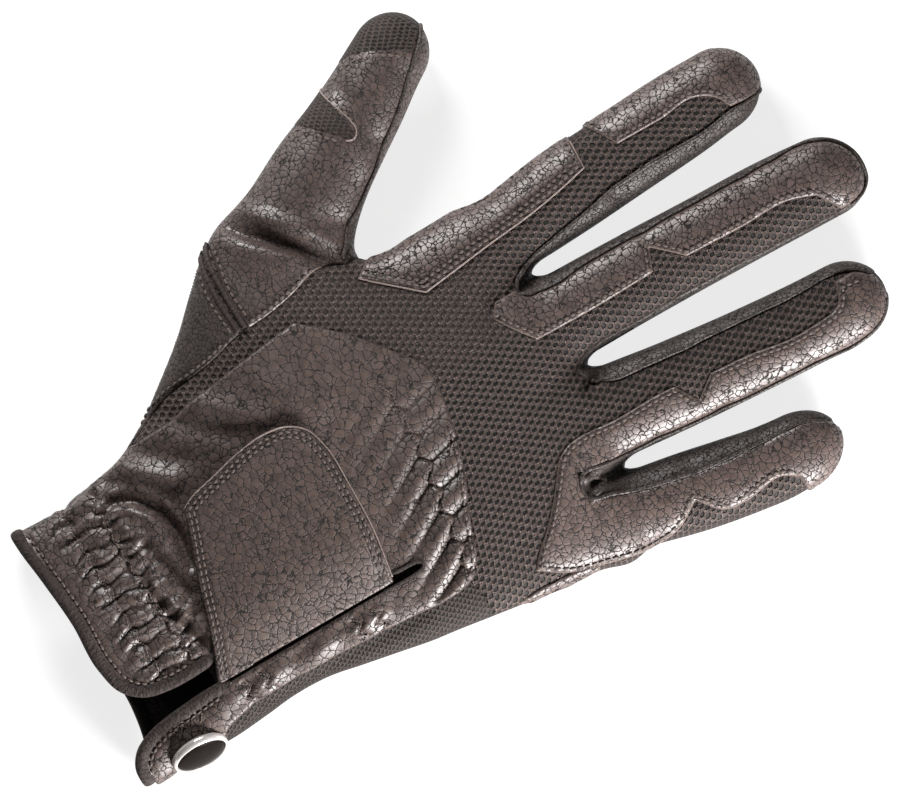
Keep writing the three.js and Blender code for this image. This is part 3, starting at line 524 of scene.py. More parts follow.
class Finish:
    def __init__(self, name, **constants):
        self.material = bpy.data.materials.new(name)
        self.material.use_nodes = True
        self.tree = self.material.node_tree
        self.shader = self.tree.nodes["Principled BSDF"]
        for key, value in constants.items():
            self.shader.inputs[key.replace("_", " ")].default_value = value
        place = self.node("ShaderNodeTexCoord", {}, {}, "Object")
        self.place = self.node("ShaderNodeVectorMath", {"operation": "SCALE"}, {0: place, "Scale": 1000.0})

    def node(self, kind, settings, inputs, output=0):
        # Any node: its settings first, then values or links for its sockets
        made = self.tree.nodes.new(kind)
        for key, value in settings.items():
            setattr(made, key, value)
        for key, value in inputs.items():
            if isinstance(value, Value):
                self.tree.links.new(value.socket, made.inputs[key])
            else:
                made.inputs[key].default_value = value
        return Value(self, made.outputs[output])

    def feed(self, socket, value):
        self.tree.links.new(value.socket, self.shader.inputs[socket])

    def parts(self, vector):
        made = self.tree.nodes.new("ShaderNodeSeparateXYZ")
        self.tree.links.new(vector.socket, made.inputs[0])
        return [Value(self, made.outputs[k]) for k in range(3)]

    def vector(self, x, y, z):
        return self.node("ShaderNodeCombineXYZ", {}, {0: x, 1: y, 2: z})

    def noise(self, size, detail=2.0, at=None, output=0):
        inputs = {"Vector": at or self.place, "Scale": 1 / size, "Detail": detail}
        return self.node("ShaderNodeTexNoise", {}, inputs, output)

    def cracks(self, size, at):
        # Distance from the edges between pebbles of a size
        settings = {"feature": "DISTANCE_TO_EDGE"}
        return self.node("ShaderNodeTexVoronoi", settings, {"Vector": at, "Scale": 1 / size})

    def colour(self, a, b, share):
        inputs = {"Factor": share, 6: a, 7: b}
        return self.node("ShaderNodeMix", {"data_type": "RGBA", "clamp_factor": True}, inputs, 2)

    def attribute(self, name):
        return self.node("ShaderNodeAttribute", {"attribute_name": name}, {}, "Fac")

    def bump(self, height, depth, strength=1.0):
        # height from 0 to 1, depth in millimetres
        inputs = {"Strength": strength, "Distance": depth * metre, "Height": height}
        self.feed("Normal", self.node("ShaderNodeBump", {}, inputs))


def leatherFinish(name, look):
    # Smooth flat pebbles parted by thin dark cracks, finer in places, with cut edges and painted shade along
    # the grooves of the stitch rows
    finish = Finish(name, Coat_Roughness=0.35)
    wobble = finish.noise(1.3, 3, output="Color")
    at = finish.node("ShaderNodeVectorMath", {"operation": "MULTIPLY_ADD"},
                     {0: wobble, 1: (1.3, 1.3, 1.3), 2: finish.place})
    wide = finish.cracks(look["pebble"], at)
    fine = finish.cracks(look["pebble"] * 0.52, at)
    vary = finish.noise(2.6, 3)
    patchy = finish.noise(4.0, 2).smooth(0.4, 0.6)
    line = (1 - wide.smooth(0.015, look["crack"])) * (0.85 + 0.3 * vary)
    hair = (1 - fine.smooth(0.0, look["crack"])) * patchy * 0.5
    flats = (1 - line) * (1 - hair)
    tone = finish.colour((*look["dark"], 1), (*look["colour"], 1), vary.smooth(0.3, 0.65))
    tone = finish.colour((*look["crackAndShadeColour"], 1), tone, flats)
    # painted shade: along each stitch row's groove the leather is darkened towards the crack colour
    outsideGrooveShade = finish.attribute("stitch").smooth(0.15, 0.65)
    tone = finish.colour((*look["crackAndShadeColour"], 1), tone, 0.25 + 0.75 * outsideGrooveShade)
    edge = finish.attribute("edge").smooth(0.05, 0.5)
    tone = finish.colour((*look["edgeColour"], 1), tone, edge)
    finish.feed("Base Color", tone)
    finish.feed("Roughness", look["roughness"] + 0.5 * (1 - flats) + 0.12 * vary)
    finish.feed("Coat Weight", look["coat"] * flats)
    dome = wide.smooth(0.0, 0.4)
    grain = finish.noise(0.35, 2)
    finish.bump(flats * 0.25 + dome * 0.2 + grain * 0.08, look["depth"])
    return finish.material


def meshFinish(name, look):
    # A warp knit: rows of upright holes, each row half a hole on from the last, between raised threads, with
    # a painted highlight on the threads at the lower right of each hole and painted shade where the knit is
    # tight
    finish = Finish(name, Sheen_Weight=0.02, Sheen_Roughness=0.5, Specular_IOR_Level=0.22)
    sway = finish.noise(2.4, 2, output="Color")
    at = finish.node("ShaderNodeVectorMath", {"operation": "MULTIPLY_ADD"},
                     {0: sway, 1: (look["sway"], look["sway"], 0), 2: finish.place})
    x, y, _ = finish.parts(at)
    across = finish.attribute("across") + (x - finish.parts(finish.place)[0])
    row = (y + look["slope"] * x + look["bow"] * x * x) / look["rowPitch"]
    column = across / look["holePitch"] + row.math("FLOOR") * 0.5
    u = column.math("FRACT") - 0.5
    v = row.math("FRACT") - 0.5
    away = (u * u * look["acrossHole"] ** -2 + v * v * look["alongHole"] ** -2) ** 0.5
    tightAndShaded = (0 - x).smooth(3, 14) * (1 - y.smooth(12, 26))  # pulled closed between thumb and index, and painted darker there as shade
    cord = away.smooth(0.6, 1.1)
    cord = cord + (1 - cord) * tightAndShaded * 0.35
    twist = ((u * 1.4 + v) * 12.57).math("COSINE") * 0.5 + 0.5
    fuzz = finish.noise(0.4, 3)
    strand = cord * (0.5 + 0.5 * twist)
    # painted shade: where the knit is tight it is darkened towards the hole colour
    tone = finish.colour((*look["holeAndShadeColour"], 1), (*look["colour"], 1), cord * (1 - 0.35 * tightAndShaded))
    paintedHighlightSide = (u - v).smooth(-0.5, 0.55)  # painted highlight on the threads at the lower right of each hole, which the bump also raises
    tone = finish.colour(tone, (*look["pale"], 1), strand * paintedHighlightSide * fuzz.smooth(0.3, 0.7))
    finish.feed("Base Color", tone)
    finish.feed("Roughness", 0.5 + 0.25 * fuzz)
    finish.bump(cord * 0.6 + strand * paintedHighlightSide * 0.5 + fuzz * 0.15, look["depth"])
    return finish.material


def tapeFinish(name, look):
    # Matt tape with fine creases across it, painted darker in the crease valleys as shade
    finish = Finish(name, Sheen_Weight=0.02, Specular_IOR_Level=0.25)
    along = finish.attribute("along")
    across = finish.attribute("around") * 0.6
    creases = finish.noise(1.0, 2, at=finish.vector(along * look["creases"], across, 0.0))
    fuzz = finish.noise(0.5, 2)
    # painted shade: the dark colour lies where the bump is lowest, in the crease valleys
    tone = finish.colour((*look["dark"], 1), (*look["colour"], 1), creases.smooth(0.3, 0.6))
    finish.feed("Base Color", tone)
    finish.feed("Roughness", look["roughness"] + 0.15 * fuzz)
    finish.bump(creases.smooth(0.25, 0.7) * 0.8 + fuzz * 0.25, look["depth"])
    return finish.material


leatherLook = {
    "colour": (0.108, 0.073, 0.063), "dark": (0.068, 0.045, 0.038), "crackAndShadeColour": (0.006, 0.004, 0.003),
    "edgeColour": (0.12, 0.088, 0.076), "pebble": 1.7, "crack": 0.105, "depth": 0.16, "roughness": 0.39,
    "coat": 0.22,
}
leather = leatherFinish("pebbledLeather", leatherLook)
wristFinish = leatherFinish("wristPebbledLeather", {
    **leatherLook, "colour": (0.09, 0.061, 0.052), "dark": (0.058, 0.039, 0.033), "pebble": 2.1,
    "crack": 0.085, "depth": 0.19, "edgeColour": (0.05, 0.035, 0.03),
})
# painted shade: a darker copy of the finger leather for the thumb, standing in for the shade it lies in
shadedThumbFinish = leatherFinish("shadedThumbPebbledLeather", {
    **leatherLook, "colour": (0.075, 0.05, 0.043), "dark": (0.05, 0.033, 0.028),
})
paleEdge = leatherFinish("paleCutLeather", {**leatherLook, "edgeColour": (0.2, 0.152, 0.135)})
darkLeather = leatherFinish("plainDarkLeather", {
    **leatherLook, "colour": (0.044, 0.031, 0.027), "dark": (0.03, 0.02, 0.017), "pebble": 1.3,
    "edgeColour": (0.05, 0.036, 0.031), "depth": 0.14, "coat": 0.08, "roughness": 0.5,
})
# pale: the colour of the painted highlight on the knit's threads
knitLook = {
    "colour": (0.034, 0.023, 0.02), "pale": (0.19, 0.14, 0.122), "holeAndShadeColour": (0.004, 0.003, 0.002),
    "rowPitch": 1.72, "holePitch": 2.1, "acrossHole": 0.35, "alongHole": 0.44, "sway": 0.6, "slope": 0.1,
    "bow": 0.003, "depth": 0.75,
}
knit = meshFinish("warpKnitMesh", knitLook)
fineKnit = meshFinish("fineKnitMesh", {
    **knitLook, "colour": (0.026, 0.018, 0.015), "pale": (0.1, 0.073, 0.063), "rowPitch": 1.1,
    "holePitch": 1.45, "sway": 0.8, "depth": 0.5,
})
# dark: the painted shade colour in the creases of the tape and the thread
tape = tapeFinish("bindingTape", {
    "colour": (0.034, 0.024, 0.021), "dark": (0.016, 0.011, 0.01), "creases": 1.2, "roughness": 0.62,
    "depth": 0.25,
})
thread = tapeFinish("sewingThread", {
    "colour": (0.12, 0.092, 0.082), "dark": (0.05, 0.036, 0.032), "creases": 4.0, "roughness": 0.6,
    "depth": 0.1,
})
print("finishes made")

# The skin: one net over the whole form, parted at the seam and open at the cuff

skin = {"cell": 1.0, "wall": 1.1, "low": (-104.5, -130, -1.5), "high": (71.5, 124.5, 27.5)}
wristTop = [(10, -9.3), (17, -11.5), (24, -14.5), (30, -17), (37, -19.5), (41, -22), (43.3, -26)]
wrist = {
    "outline": [
        (-40, -31, 0), (-33, -23), (-25, -15.5), (-18, -10), (-14.5, -7.2), (-11, -6), (-5, -6.2), (0, -7),
        *wristTop, (44, -32),
        (43.4, -45), (42.7, -60), (42.3, -80), (43.2, -94), (45.5, -101), (53, -104, 0), (52.5, -124.2, 0),
        (47, -124.4, 0), (43.5, -125), (40.3, -123.4), (38.2, -120.5), (36.6, -115.5), (35.6, -108),
        (34.9, -101), (34.2, -93), (34.0, -80), (33.8, -65), (33.6, -50), (33.7, -43), (33.5, -36),
        (32.4, -33.8), (31.3, -36), (31.2, -40), (29.0, -46), (27.3, -60), (26.8, -80), (27.0, -95),
        (26.9, -108), (25.2, -114.2), (21.4, -118.1), (14, -119.9), (0, -119.9), (-14, -121.2),
        (-28, -123, 0), (-33, -123.2, 0), (-34, -104), (-36.5, -92), (-33.4, -86.5, 0), (-33.8, -75),
        (-35.4, -65), (-36.9, -55), (-38.3, -45),
    ],
    "wall": 1.2,
}
hemUnder = [(-33, -123.2), (-20.6, -121.6), (-8, -120.0), (10, -118.9), (29, -118.3), (39, -120.8),
            (50, -124.8)]


def plainValues(p):
    # The numbers of leather far from any edge or stitch row
    return {"edge": np.full(len(p), 9.0), "stitch": np.full(len(p), 9.0)}


def unrolled(p, n):
    # The place across the glove, counted on down the sides where they are steep
    steep = softStep(1 - n[:, 2], 0.25, 0.85)
    return p[:, 0] + steep * np.sign(n[:, 0]) * (15 - p[:, 2])


points, faces = skinNet(skin["low"], skin["high"], skin["cell"])
points, outward = ontoForm(points)
wristLine = outlineOf(wrist["outline"])
middles = points[faces].mean(1)
upper = middles[:, 2] > seamHeight
inSlit = (np.abs(middles[:, 0] - 30.5) < 5.5) & (middles[:, 1] < -32.5)
inWrist, _ = edgeDistance(middles[:, :2], wristLine)
meshEnd = np.where(middles[:, 0] > 0, -105, -84)  # the mesh ends under the wrist leather
backKept = upper & ~inSlit & (inWrist < 2.5) & (middles[:, 1] > meshEnd)
palmKept = ~upper & (middles[:, 1] > tableAt(middles[:, 0], hemUnder, 1) - 0.6)
raised = placed(points, outward, 0.0)
atSide = (middles[:, 0] > 42) & (middles[:, 1] < -24)
for name, kept, finish, slotName, nodes in (
    ("back_mesh_skin", backKept & ~atSide, knit, "knit", ["back_mesh"]),
    ("side_mesh_skin", backKept & atSide, fineKnit, "knit", []),
    ("palm_leather_skin", palmKept, darkLeather, "leather_dark", ["palm_leather"]),
):
    p, f, used = keepFaces(raised, faces, kept)
    values = {**plainValues(p), "across": unrolled(p, outward[used])}
    makePiece(name, p, f, finish, nodes, skin["wall"], values)
print("skin made")

# Panels: each an outline on the table, filled with a grid, draped over the form and raised a little

def rolledEdge(edge, rise, roll):
    # Height over the panel's own lift: a quarter round of the radius roll at the edge
    return rise * np.sqrt(1 - (1 - np.clip(edge / roll, 0, 1)) ** 2)


def drapeOver(x, y):
    # As drape, but what lies beyond the outline of the form goes down its side by as much
    p, n = drape(x, y)
    beyond = np.hypot(x - p[:, 0], y - p[:, 1])
    outside = gloveField(x, y, widest(x, y)) > 0
    p = p.copy()
    p[:, 2] -= np.where(outside, np.minimum(beyond * 1.2, widest(x, y) - 0.4), 0)
    q, m = ontoForm(p[outside], 2)
    p[outside], n[outside] = q, m
    return p, n


def inset(places, distance, trim=0.8, spacing=0.4):
    # A line moved to its left by a distance, and shortened at both ends
    line = lineOf(places, spacing)
    ahead = np.gradient(line, axis=0)
    ahead /= np.linalg.norm(ahead, axis=1)[:, None]
    moved = line + distance * np.stack([-ahead[:, 1], ahead[:, 0]], 1)
    cut = int(trim / spacing)
    return moved[cut:len(moved) - cut]


def rowLines(look):
    return [inset(places, away) for places, *aways in look.get("rows", ()) for away in aways]


def rowDistance(flat, lines):
    # Distance from the nearest stitch row, at most 9
    away = np.full(len(flat), 9.0)
    for line in lines:
        near = np.flatnonzero(((flat > line.min(0) - 3) & (flat < line.max(0) + 3)).all(1))
        for part in np.array_split(near, max(len(near) // 2000, 1)):
            nearest = np.linalg.norm(flat[part, None] - line, axis=2).min(1, initial=9)
            away[part] = np.minimum(away[part], nearest)
    return away


def panel(name, look, finish, nodes, extra=None):
    outline = outlineOf(look["outline"])
    flat, quads, edge = fillOutline(outline, look.get("cell", 0.6))
    p, n = drapeOver(flat[:, 0], flat[:, 1])
    offset = look.get("lift", 0.25) + rolledEdge(edge, look.get("rise", 0.45), look.get("roll", 0.6))
    stitch = rowDistance(flat, rowLines(look))
    offset -= 0.3 * bell(stitch, 0.55)  # the thread pulls the leather in
    if extra:
        offset = offset + extra(flat[:, 0], flat[:, 1], edge)
    across = unrolled(p, n)
    p = placed(p, n, offset, look.get("relief", 1.0))
    longest = np.linalg.norm(p[quads] - p[np.roll(quads, 1, 1)], axis=2).max(1)
    p, quads, used = keepFaces(p, quads, longest < look.get("longest", 3.2))  # none across a gap
    turned = np.cross(p[quads[:, 2]] - p[quads[:, 0]], p[quads[:, 3]] - p[quads[:, 1]])[:, 2].sum() < 0
    quads = quads[:, ::-1] if turned else quads
    values = {"edge": edge[used], "stitch": stitch[used], "across": across[used]}
    return makePiece(name, p, quads, finish, nodes, look.get("wall", 0.9), values)


# The inner edges of the panels, which their stitch rows follow
indexEdge = [(-41.5, -10.5, 0), (-29.5, 3.5, 0), (-30.8, 14), (-32.2, 25), (-33.6, 38), (-35.3, 48),
             (-37.2, 56.5, 0)]
indexTipEdge = [(-44, 64), (-38.3, 67.5, 0), (-38.2, 80), (-38.4, 92.5), (-36, 96.2), (-32, 98.6, 0)]
middleEdge = [(-14.3, 15.3, 0), (-9, 18.8), (-3.8, 22.8, 0), (-3.5, 40), (-4, 58.5, 0), (-10.3, 61, 0),
              (-3.2, 68.5, 0), (-2.6, 85), (-2.3, 100), (0, 106.5, 0)]
ringEdge = [(24.1, 20), (25.0, 30), (25.0, 45), (25.3, 48.2, 0), (31.6, 52.3, 0), (27.0, 58.5, 0), (27.9, 70),
            (29.8, 82), (29.5, 94, 0), (28.2, 96.8)]
littleEdge = [(24.6, 16), (26.5, 12.2), (31, 8.6), (36, 4.6), (41, 0), (46, -5.5), (49.3, -8.2, 0), (54.4, 0),
              (57.2, 10), (59.4, 20), (58.6, 30.6), (54.2, 38, 0), (60.6, 43.8)]
thumbEdge = [(-44.8, -41.8, 0), (-45.2, -36), (-46.6, -28), (-49.2, -18)]
heelEdge = [(-38, -76), (-40, -70), (-41, -62), (-42.5, -53), (-44, -48)]
fingerPanels = {
    "index_lower_leather": {
        "nodes": ["index_lower_patch"], "rows": [(indexEdge, 1.3, 2.7), ([(-37.2, 56.5), (-47, 57)], 1.3)],
        "outline": [*indexEdge, (-50.5, 57.2, 0), (-49.7, 40), (-48, 20), (-47.5, 5), (-47.2, -3, 0)],
    },
    "index_tip_leather": {
        "nodes": ["index_tip_patch"], "rows": [([(-48.5, 61.3), *indexTipEdge], 1.3)],
        "outline": [(-50.5, 60.3, 0), *indexTipEdge, (-31.5, 104), (-32.8, 112.5, 0), (-39, 113),
                    (-47, 109.5), (-51.3, 101), (-51.6, 90), (-51.2, 75)],
    },
    "middle_leather": {
        "nodes": ["middle_patch"], "rows": [([(-17, 17.4), *middleEdge, (6, 110.5)], 1.2)],
        "outline": [(-18, 25, 0), (-18, 18, 0), *middleEdge, (6.3, 110.6, 0), (6.2, 114), (4.5, 118.3),
                    (0, 120.7), (-5, 120.4), (-10, 117.1), (-12.7, 112), (-13.5, 100), (-13.9, 80),
                    (-14.4, 60), (-14.5, 45), (-14.2, 30), (-15, 26)],
    },
    "ring_little_leather": {
        "nodes": ["ring_little_patch"],
        "rows": [([(24.4, 106), (23.6, 99.6, 0), *ringEdge[::-1], *littleEdge], 1.2),
                 ([(61.2, 47), (60.4, 61.5), (62.6, 65.3)], 1.2)],
        "outline": [*ringEdge, (22.6, 99.4, 0), (22.9, 105), (26, 109.2, 0), (31, 109.9), (35.2, 108),
                    (38.1, 103.4), (39.1, 97), (38.6, 88), (37.9, 78), (36.9, 62), (35.7, 48), (34.3, 34),
                    (33.6, 22), (33.0, 14.5, 0), (39.3, 13.5, 0), (42.2, 20), (44.8, 27), (47.2, 37),
                    (48.9, 47), (49.8, 57), (50.3, 66), (51.2, 74), (54.4, 79.9, 0), (60, 83, 0), (67, 78),
                    (69.3, 70), (69.5, 65.8, 0), (62.6, 65.3, 0), (60.4, 61.5), (61.2, 50),
                    *littleEdge[::-1]],
    },
    "edge_leather": {
        "nodes": ["edge_patch"], "outline": [
            (56.2, 7.6, 0), (54.9, 3), (54.2, -4), (54.0, -12), (54.6, -16.2, 0), (56.4, -14), (57.4, -4),
            (57.6, 6.8, 0)],
    },
    "thumb_back_leather": {
        "nodes": ["thumb_leather"], "longest": 5.0,
        "rows": [(thumbEdge, 1.0), ([(-68, -40.4), (-56, -42.6), (-45.4, -41.9)], 1.2)],
        "outline": [(-46.6, -11, 0), (-48.6, -15), *thumbEdge[::-1],
                    (-56, -42.6), (-69, -40.2, 0), (-73, -40.8, 0), (-76.8, -31), (-80.5, -22), (-84.5, -14),
                    (-88.7, -6), (-91.8, 2), (-96, 10), (-100.4, 18), (-104, 27), (-104, 36), (-99, 43.5),
                    (-89, 46), (-79.5, 41), (-73, 34), (-67, 26.5), (-61, 18), (-55.5, 9.5), (-50.5, 1),
                    (-47, -5, 0)],
    },
    "heel_dark_leather": {
        "nodes": ["heel_leather"], "longest": 8.0,
        "rows": [([(-35.8, -80.5), *heelEdge], 1.0)],
        "outline": [(-44.7, -44.8, 0), *heelEdge[::-1], (-35, -82),
                    (-33, -87, 0), (-36.5, -90, 0), (-41, -81), (-48.5, -71), (-56.5, -61), (-64.5, -52),
                    (-72, -44, 0), (-68, -43.4, 0), (-58, -45)],
    },
}
# The lines that the strips between the fingers and their seams share
indexMiddleLine = [(-29.6, 90), (-29.4, 70), (-28, 58), (-26.5, 50), (-25, 40), (-23, 31), (-20.8, 26.4),
                   (-18, 25), (-15.8, 26), (-14.6, 30), (-14.8, 45), (-14.7, 60), (-14.2, 80), (-13.8, 100),
                   (-13, 112), (-10.2, 117.5), (-5, 120.8)]
ringLeftLine = [(16.7, 45), (18, 60), (19.2, 75), (20.2, 90), (20.5, 100)]
ringRightLine = [(38.9, 88), (38.2, 78), (37.2, 62), (36, 48), (34.6, 34), (33.9, 22)]
littleLine = [(42, 20), (44.6, 27), (47, 37), (48.7, 47), (49.6, 57), (50.1, 66)]
fourchettes = {
    "index_middle_strip": {
        "nodes": ["fourchette_index_middle"],
        "outline": [(-32.3, 109.6, 0), (-31.4, 100), *indexMiddleLine, (-1.5, 121.2, 0),
                    (-1.5, 125, 0), (-8, 125), (-15, 119), (-18, 108), (-18.6, 90), (-19.6, 60),
                    (-19.3, 36, 0), (-19.6, 60), (-22, 90), (-23.5, 100), (-26, 107), (-31, 113, 0)],
    },
    "middle_ring_strip": {
        "nodes": ["fourchette_middle_ring"],
        "outline": [(4.6, 118.6, 0), (6.4, 113), (6.7, 106), (6.3, 94), (5.3, 78), (5.1, 50), (5.3, 36),
                    (6.8, 30), (9, 28.2), (12, 29.4), (14.8, 33), *ringLeftLine,
                    (22.3, 105.5), (25.6, 109.4, 0), (25, 113.5, 0), (17, 110), (14, 100), (12.8, 86),
                    (11, 70), (10.3, 54), (9.6, 36, 0), (10.0, 54), (10.4, 78), (11, 94), (11.6, 108),
                    (10, 117), (7, 121.5, 0)],
    },
    "ring_little_strip": {
        "nodes": ["fourchette_ring_little"],
        "outline": [(31.5, 110, 0), (36.4, 106.9), (38.9, 102), (39.5, 97), *ringRightLine,
                    (33.2, 14.2, 0), (39.3, 13.2, 0), *littleLine, (51, 74), (54.6, 80.2, 0), (53, 84, 0),
                    (46.5, 79), (43, 70), (42.4, 60), (40.9, 50), (39, 38), (37.2, 27, 0), (38.2, 38),
                    (40.2, 50), (41.6, 60), (42.4, 72), (43, 86), (43.2, 98), (40.5, 107), (34.5, 114, 0)],
    },
}
for name, look in fourchettes.items():
    panel(name, {"lift": 0.12, "rise": 0.2, "wall": 0.8, **look}, darkLeather, look["nodes"])
for name, look in fingerPanels.items():
    finish = {"heel_dark_leather": darkLeather, "thumb_back_leather": shadedThumbFinish}.get(name, leather)
    panel(name, look, finish, look["nodes"])
thumbMeshes = {
    "thumb_tip_knit": {
        "nodes": ["thumb_tip_mesh"],
        "outline": [(-99, 11.5, 0), (-93.5, 14, 0), (-92.8, 20), (-91, 25), (-88.5, 29), (-86, 31.5, 0),
                    (-90, 36.4), (-91, 42.5, 0), (-98.5, 41.5), (-103.5, 35), (-104, 27), (-101.5, 18)],
    },
    "thumb_knuckle_knit": {
        "nodes": ["thumb_knuckle_mesh"],
        "outline": [(-94, 6.4, 0), (-90.5, 6.5), (-84, 7.5), (-76, 8.7, 0), (-74.8, 6.5), (-76, 4.5),
                    (-80, 0.5), (-83, -2.5), (-85.5, -5, 0), (-90.5, -6, 0)],
    },
}
for name, look in thumbMeshes.items():
    panel(name, {"lift": 0.5, "rise": 0.35, **look}, fineKnit, look["nodes"])
print("panels made")

# The wrist leather with its gathers

gathers = {
    "cuffPitch": 4.7, "cuffHeight": 1.35, "zigzag": 1.0,
    "above": 7.0, "below": 5.0,  # how far the pleats run out
    "groove": (0.35, 0.5), "dip": (0.3, 2.2),  # depth and width of each row's thread and of its pull
    "upperPitch": 7.6, "upperHeight": 2.1, "upperZigzag": 1.7, "upperBelow": 11.0,
    "sideFolds": (-50.5, -56, -84.5, -90), "sideDepth": 0.9, "snap": (47, -110, 6, 9),  # middle and reach
}


def cuffRow(x, which):
    # The two elastic rows of the cuff, rising a little towards the slit
    t = (x + 28) / 50
    return (-101.4 + 2.4 * t**2) if which == 0 else (-109.9 + 1.8 * t**2)


def upperRow(x):
    return tableAt(x, [(-16, -20.2), (-12, -18.6), (0, -18.6), (11, -19.3), (19, -20.6), (26, -21.6),
                       (33, -22.6), (39, -23.8), (44, -26.5)], 1)


def triangle(t):
    # Zigzag between -1 and 1
    return 2 * np.abs(2 * (t - np.floor(t + 0.5))) - 1


def pleat(phase, power, base):
    # Round ridges with sharp valleys between, one for each whole phase
    return np.abs(np.sin(np.pi * phase)) ** power - base


def past(x):
    return softStep(x, -0.6, 0.6)


def wristGathers(x, y, edge):
    # Pleats across the elastic rows. Each row is a zigzag valley, and the ridges of one side stand between
    # those of the other. Beside the slit the leather is laid in a few short zigzag folds.
    top, low = cuffRow(x, 0), cuffRow(x, 1)
    phase = x / gathers["cuffPitch"] + 0.1 * np.sin(y * 0.7 + x * 0.3) + 0.08 * np.sin(x * 0.63)
    zig = gathers["zigzag"] * triangle(phase)
    ridge, other = pleat(phase, 1.2, 0.35), pleat(phase + 0.05 * (y - top) + 0.5, 1.2, 0.35)
    middle = 0.75 * ridge * past(y - low + zig) * past(top + zig - y)
    above = other * past(y - top - zig) * bell(np.maximum(y - top, 0), gathers["above"])
    below = other * past(low - zig - y) * bell(np.maximum(low - y, 0), gathers["below"])
    cuff = gathers["cuffHeight"] * (middle + above + 1.2 * below) * (1 + 0.3 * np.sin(x * 1.7 + y * 0.4))
    depth, width = gathers["groove"]
    cuff -= depth * (bell(y - top - zig, width) + bell(y - low + zig, width))
    depth, width = gathers["dip"]
    cuff -= depth * (bell(y - top, width) + bell(y - low, width))
    away = y - upperRow(x)
    zig = gathers["upperZigzag"] * triangle(x / gathers["upperPitch"] + 0.1)
    slant = (x + 0.6 * np.minimum(away, 0) + 0.25 * np.maximum(away, 0)) / gathers["upperPitch"] + 0.1
    over = 0.8 * pleat(slant + 0.5, 0.8, 0.4) * past(away - zig)
    under = pleat(slant, 0.8, 0.4) * past(zig - away) * bell(np.maximum(-away, 0), gathers["upperBelow"])
    upper = gathers["upperHeight"] * (over + under) - 0.5 * bell(away - zig, 0.5)
    upper *= softStep(x, -17, -8) * (0.5 + 0.5 * softStep(x, -2, 14)) * softStep(-x, -45.5, -42)
    side = 0.45 * np.sin(y * 0.42 + x * 0.3) * softStep(-y, 40, 48)
    for at in gathers["sideFolds"]:
        side = side - gathers["sideDepth"] * bell(y - at - 1.3 * triangle(x / 3.3), 0.7)
    side = side * softStep(x, 34.5, 36.5) * bell(x - 38.8, 3.6)
    middleX, middleY, reachX, reachY = gathers["snap"]  # the leather lies flat and low under the snap
    flat = 1 - np.exp(-(np.hypot((x - middleX) / reachX, (y - middleY) / reachY) ** 4))
    return softStep(-x, -27, -23) * cuff + upper + side * flat - 0.8 * (1 - flat)


hemEdge = [(-27.5, -121), (-14, -119.4), (0, -118.1), (14, -118.1), (20, -116.6), (23.4, -113.2),
           (24.4, -108), (24.6, -100)]
flapEdge = [(46.2, -123.3), (44, -123.4), (40.7, -121), (38.6, -116), (37.6, -110), (37.0, -104), (36.2, -96)]
wristLook = {
    **wrist, "rows": [(hemEdge, 0), (flapEdge, 0), ([(4, -8), *wristTop], -1.2)],
    "cell": 0.5, "lift": 0.1, "rise": 0.5,
}
panel("wrist_gathered_leather", wristLook, wristFinish, ["wrist_leather"], wristGathers)
print("wrist made")

# The closure tab

tabTop = [(5, -39.6), (18, -40)]
tabLeft = [(-8, -40.1), (-13.6, -42), (-17, -46.2), (-18.2, -52), (-17.4, -60), (-15, -70), (-13.2, -77),
           (-11.4, -80.6)]
tabLow = [(-8, -81.7), (5, -86.4), (20, -91.2)]
tab = {
    "outline": [tabLeft[0], *tabTop, (33.1, -42, 0), (33.2, -60), (33.4, -80), (33.8, -96.9, 0),
                *tabLow[::-1], *tabLeft[:0:-1]],
    "rows": [([(31, -42, 0), *tabTop[::-1], *tabLeft, *tabLow, (33, -96.3)], 1.4, 2.7)],
    "lift": 2.0, "rise": 1.3, "roll": 0.5, "wall": 1.6, "relief": 0.25, "cell": 0.5,
    "bendFrom": 15.0, "bendReach": 11.0, "bend": -0.23,  # the slope into the slit
}


def tabDip(x, y, edge):
    # The free right edge bends down into the slit
    over = np.clip(x - tab["bendFrom"], 0, 20)
    reach = tab["bendReach"]
    return tab["bend"] * np.where(over < reach, over**2 / (2 * reach), over - reach / 2)


panel("closure_tab_leather", tab, wristFinish, ["closure_tab"], tabDip)
print("tab made")

# Binding tape round the hem and the slit

binding = {
    "back": [(32.1, -33.0), (31.3, -34.0), (31.0, -36), (30.8, -40.5), (28.2, -46.5), (26.2, -60),
             (25.8, -80), (26.2, -95), (26.6, -102), (26.4, -108), (24.8, -114.6), (21.2, -118.6),
             (14, -120.6), (0, -120.5), (-14, -121.8), (-25.6, -123.3)],
    "under": [(-24, -122.2), (-8, -120.5), (10, -119.4), (28, -118.8), (39, -121.0)],
    "right": [(45.2, -125.7), (42.4, -125.4), (39.2, -123.2), (36.8, -118.6), (35.4, -112), (34.8, -106),
              (34.4, -100), (34.5, -92), (34.3, -80), (34.1, -65), (33.9, -50), (33.9, -42), (33.8, -36),
              (33.5, -34), (32.7, -33.0)],
    "wide": 1.75, "high": 1.15,
}


def within(y, low, high):
    # 1 between low and high, running out over the length of a stitch or two
    return softStep(y, low, low + 5) * softStep(-y, -high, 5 - high)


def overHem(places):
    x, y = np.array(places, float).T
    p, n = drape(x, y)
    offset = 0.1 + wristGathers(x, y, None) + 0.7 * softStep(y, -46, -42) - 0.9 * within(y, -95, -42)
    return placed(p, n, offset), n


